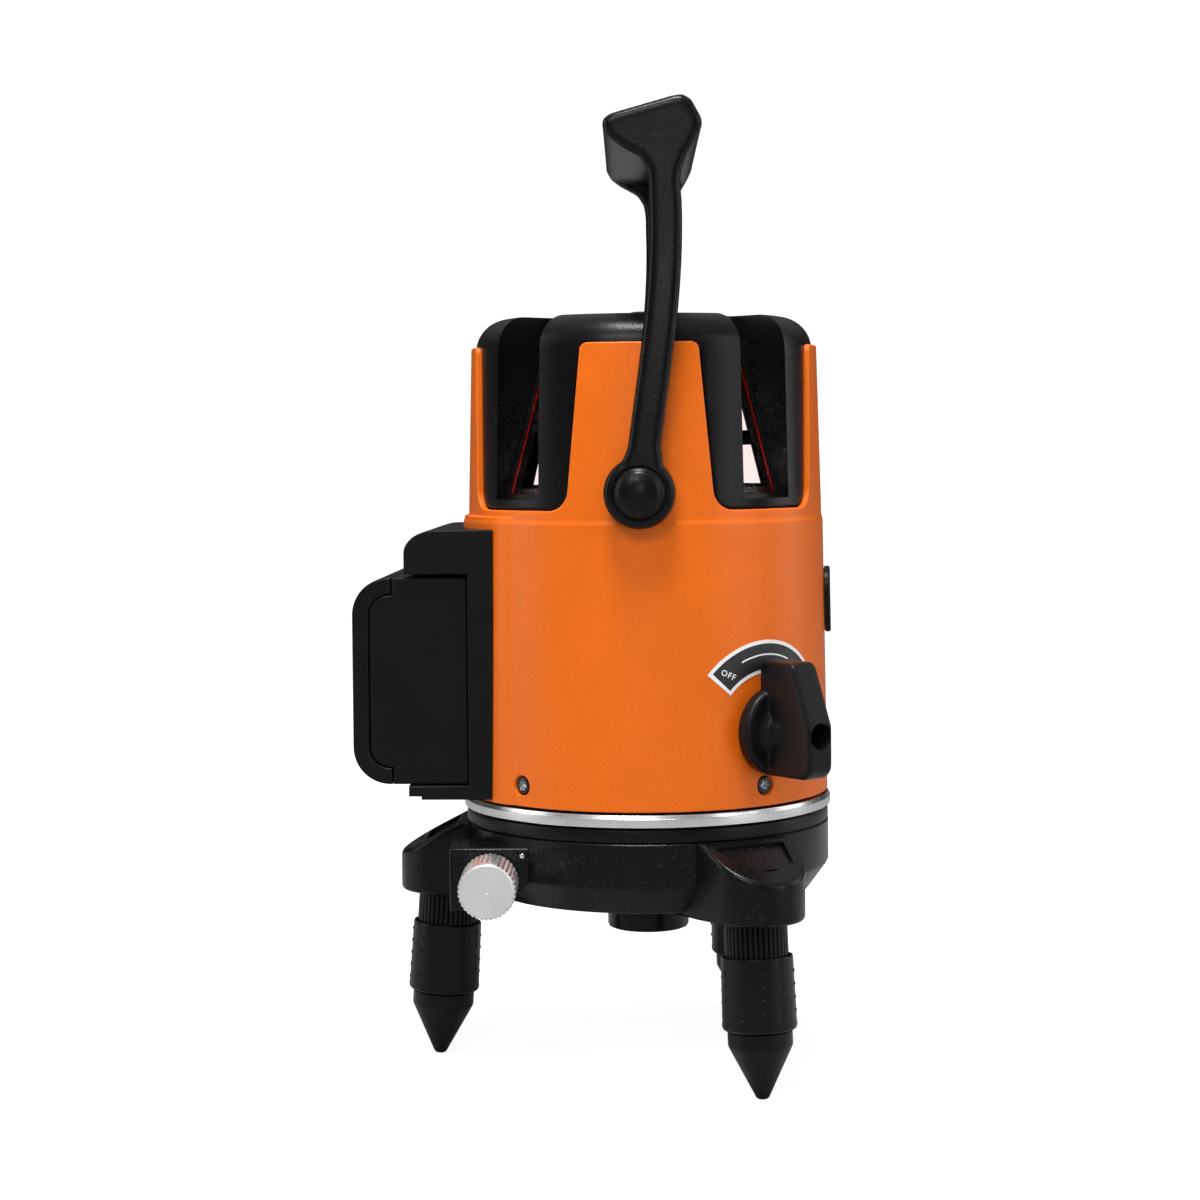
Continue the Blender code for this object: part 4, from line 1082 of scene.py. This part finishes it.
# %% [markdown]
# ## Lock knob and its label
# The knob is a low disc with a tall wing across it. Disc and wing are melted, so that
# they meet in a fillet, and the screw hole is cut crisply afterwards. Its label is a
# black field in a white border, bent onto the housing.

# %% Lock knob
disc = turned([(0, 50.9), (10.9, 50.9), (11.6, 51.5), (11.6, 54.2), (10.8, 55.1), (0, 55.3)], 96)
blend = turned([(0, 54.6), (8.2, 54.6), (5.6, 56.4), (4.6, 59.5), (0, 60.0)], 64)
wing_side = [(17.6, 51.5), (18.9, 53.0), (18.6, 63.4), (17.4, 64.9), (2.5, 70.7), (-7.0, 70.7)]
wing_side += arc((-7.4, 66.7), 4.0, 90.0, 180.0, 8)[1:] + [(-11.4, 53.2), (-10.0, 51.5)]
wing = pressed(wing_side, -4.15, 4.15, 1.0)
swing = Matrix(((0, 0, 1, 0), (1, 0, 0, 0), (0, 1, 0, 0), (0, 0, 0, 1)))
lock = melted([disc, blend, placed(wing, swing)], 0.34, 4)
lock = cut(lock, turned([(0, 63), (3.3, 63), (3.3, 70.2), (3.6, 70.6), (3.6, 80), (0, 80)], 48),
           rod(1.9, 45, 64, 32), rod(3.4, 40, 52.4, 32))
to_lock = facing(LOCK_ROUND, 0.0, LOCK_Z)
finished("lock_wing_knob", placed(lock, to_lock), black_soft, "lock", ["lock_knob"], smooth=45.0)
lock_screw = placed(lobe_screw(1.5, 63.4, 65.2, 2.8), to_lock)
finished("lock_knob_screw", lock_screw, [dark_steel, steel], "lock", ["lock_screw"])


# %% Lock label
LABEL_HALF, LABEL_IN, LABEL_OUT, BORDER = 50.0, 15.2, 23.8, 0.95
TEXT_TURN = 24.0


def sector(inner_r, outer_r, half):
    """An arc-shaped outline about the top."""
    outer = arc((0, 0), outer_r, 90.0 - half, 90.0 + half, 40)
    return outer + arc((0, 0), inner_r, 90.0 + half, 90.0 - half, 40)


def stuck_on(shape, lift):
    """Bends a flat print onto the housing round the lock knob."""
    sliced(shape, 0, [0.9 * i for i in range(-26, 27)])
    return clean(bent(placed(shape, Matrix.Translation((0, LOCK_Z, lift))), LOCK_ROUND, SHEET_R,
                      housing_radius))


def lettering(words, size, place):
    """Letters as a thin solid, centred on a place."""
    text = bpy.data.curves.new("letters", "FONT")
    text.body = words
    text.size = size
    text.align_x = "CENTER"
    text.align_y = "CENTER"
    text.extrude = 0.02
    text.offset = 0.03
    text.space_character = 1.25
    holder = bpy.data.objects.new("letters", text)
    bpy.context.scene.collection.objects.link(holder)
    bpy.context.view_layer.update()
    shape = bmesh.new()
    shape.from_mesh(holder.evaluated_get(bpy.context.evaluated_depsgraph_get()).to_mesh())
    bpy.data.objects.remove(holder)
    bpy.data.curves.remove(text)
    return placed(shape, place)


inset = math.degrees(BORDER / 19.0)
finished("label_border", stuck_on(prism(sector(LABEL_IN, LABEL_OUT, LABEL_HALF), 0.0, 0.08), 0.02),
         print_white, "instrument")
field = prism(sector(LABEL_IN + BORDER, LABEL_OUT - BORDER, LABEL_HALF - inset), 0.0, 0.05)
finished("label_field", stuck_on(field, 0.09), print_black, "instrument")
swoosh = prism(sector(19.8, 20.2, 24.0), 0.0, 0.04)
marks = [stuck_on(swoosh, 0.13)]
for words, side in (("OFF", 1.0), ("ON", -1.0)):
    out = math.radians(90.0 + side * (LABEL_HALF - inset - 8.0))
    middle = Matrix.Translation((*polar(19.5, out), 0.02))
    turn = Matrix.Rotation(math.radians(-side * TEXT_TURN), 4, "Z")
    marks.append(stuck_on(lettering(words, 2.2, middle @ turn), 0.14))
finished("label_marks", together(marks), print_white, "instrument")

# %% [markdown]
# ## Charging-socket flap
# A rubber flap covers the socket on the right. It is pressed flat and bent onto the
# housing, with a small lip for the fingernail at its foot.

# %% Socket flap
flap_outline = arc((0, 130.0), 6.2, 0.0, 180.0, 24)
flap_outline += [(-6.0, 124.0), (-5.4, 120.6)] + arc((-2.8, 119.6), 1.6, 200.0, 270.0, 5)
flap_outline += arc((2.8, 119.6), 1.6, 270.0, 340.0, 5) + [(5.4, 120.6), (6.0, 124.0)]
flap = softened(prism(flap_outline, GAP, 1.75), 0.5, rim(1.75))
sliced(flap, 0, [0.8 * i for i in range(-8, 9)])
flap = clean(bent(flap, 90.0, SHEET_R, lambda height, turn: skin_radius(height)))
finished("socket_flap_rubber", flap, rubber, "flap", ["socket_flap"])

# %% [markdown]
# ## Floor and light
# A pale floor runs under everything. It glows for the camera's own rays, and a little
# less close to the piece, so the sweep is white but hardly lights the black parts. The
# key stands in front and above, a small light stands low in front, and a fill on the
# right. A strip on each side draws the bright edges, and one lamp lights the top. The
# world is white where it is seen, and only a dim dome where it is reflected.

# %% Floor
def seen_by_eye(wire):
    """1 for rays that reach the camera straight or through glass, and 0 for the rest."""
    direct = wire.node("LightPath")
    passing = Wire(wire.tree, direct.socket.node.outputs["Is Transmission Ray"])
    return direct.maths("MAXIMUM", direct, passing)


floor = bpy.data.objects.new("floor", bpy.data.meshes.new("floor"))
bpy.context.scene.collection.objects.link(floor)
sheet = bmesh.new()
bmesh.ops.create_grid(sheet, x_segments=1, y_segments=1, size=6.0)
sheet.to_mesh(floor.data)
sheet.free()
pale = Finish("pale_floor", (0.34, 0.34, 0.34), 0.75)
away = pale.at.node("VectorMath", {"operation": "LENGTH"}, {0: pale.at}, out=1)
reach = ((away - 0.15) * 2.2).clamped()
pale.set("Emission Strength", 1.0)
bright = seen_by_eye(pale.at) * (reach * 0.20 + 0.80) + 0.06
pale.set("Emission Color", pale.mixed(bright, (0.0, 0.0, 0.0), (1.0, 1.0, 1.0)))
floor.data.materials.append(pale.material)

# %% Light
world = bpy.data.worlds.new("studio")
bpy.context.scene.world = world
world.use_nodes = True
tree = world.node_tree
sky = tree.nodes["Background"]
view_line = Wire(tree, tree.nodes.new("ShaderNodeTexCoord").outputs[0])
facing_up = view_line.node("SeparateXYZ", {}, {"Vector": view_line}, out=2)
dome = ((facing_up - 0.20) * 1.6).clamped() * 0.45 + 0.04
sky.inputs["Color"].default_value = (1.0, 1.0, 1.0, 1.0)
(seen_by_eye(view_line) * (1.05 - dome) + dome).to(sky.inputs["Strength"])
bpy.context.scene.view_settings.view_transform = "Standard"


def soft_light(name, place, aim_height, width, height, power):
    """A white panel that faces the middle of the scene at a height."""
    lamp = bpy.data.lights.new(name, "AREA")
    lamp.shape = "RECTANGLE"
    lamp.size, lamp.size_y = width, height
    lamp.energy = power
    item = bpy.data.objects.new(name, lamp)
    bpy.context.scene.collection.objects.link(item)
    item.location = place
    item.rotation_mode = "QUATERNION"
    item.rotation_quaternion = (Vector((0, 0, aim_height)) - Vector(place)).to_track_quat("-Z", "Y")


soft_light("key", (-0.25, -1.10, 0.95), 0.14, 0.5, 0.4, 6.0)
soft_light("front", (0.02, -0.78, 0.275), 0.20, 0.1, 0.1, 0.30)
soft_light("fill", (1.1, -0.6, 0.45), 0.12, 0.5, 0.9, 3.4)
soft_light("left_edge", (-1.0, -0.15, 0.35), 0.12, 0.4, 1.0, 2.6)
soft_light("right_edge", (1.0, 0.25, 0.35), 0.12, 0.4, 1.0, 2.0)
soft_light("above", (-0.05, -0.30, 1.15), 0.20, 0.3, 0.3, 12.0)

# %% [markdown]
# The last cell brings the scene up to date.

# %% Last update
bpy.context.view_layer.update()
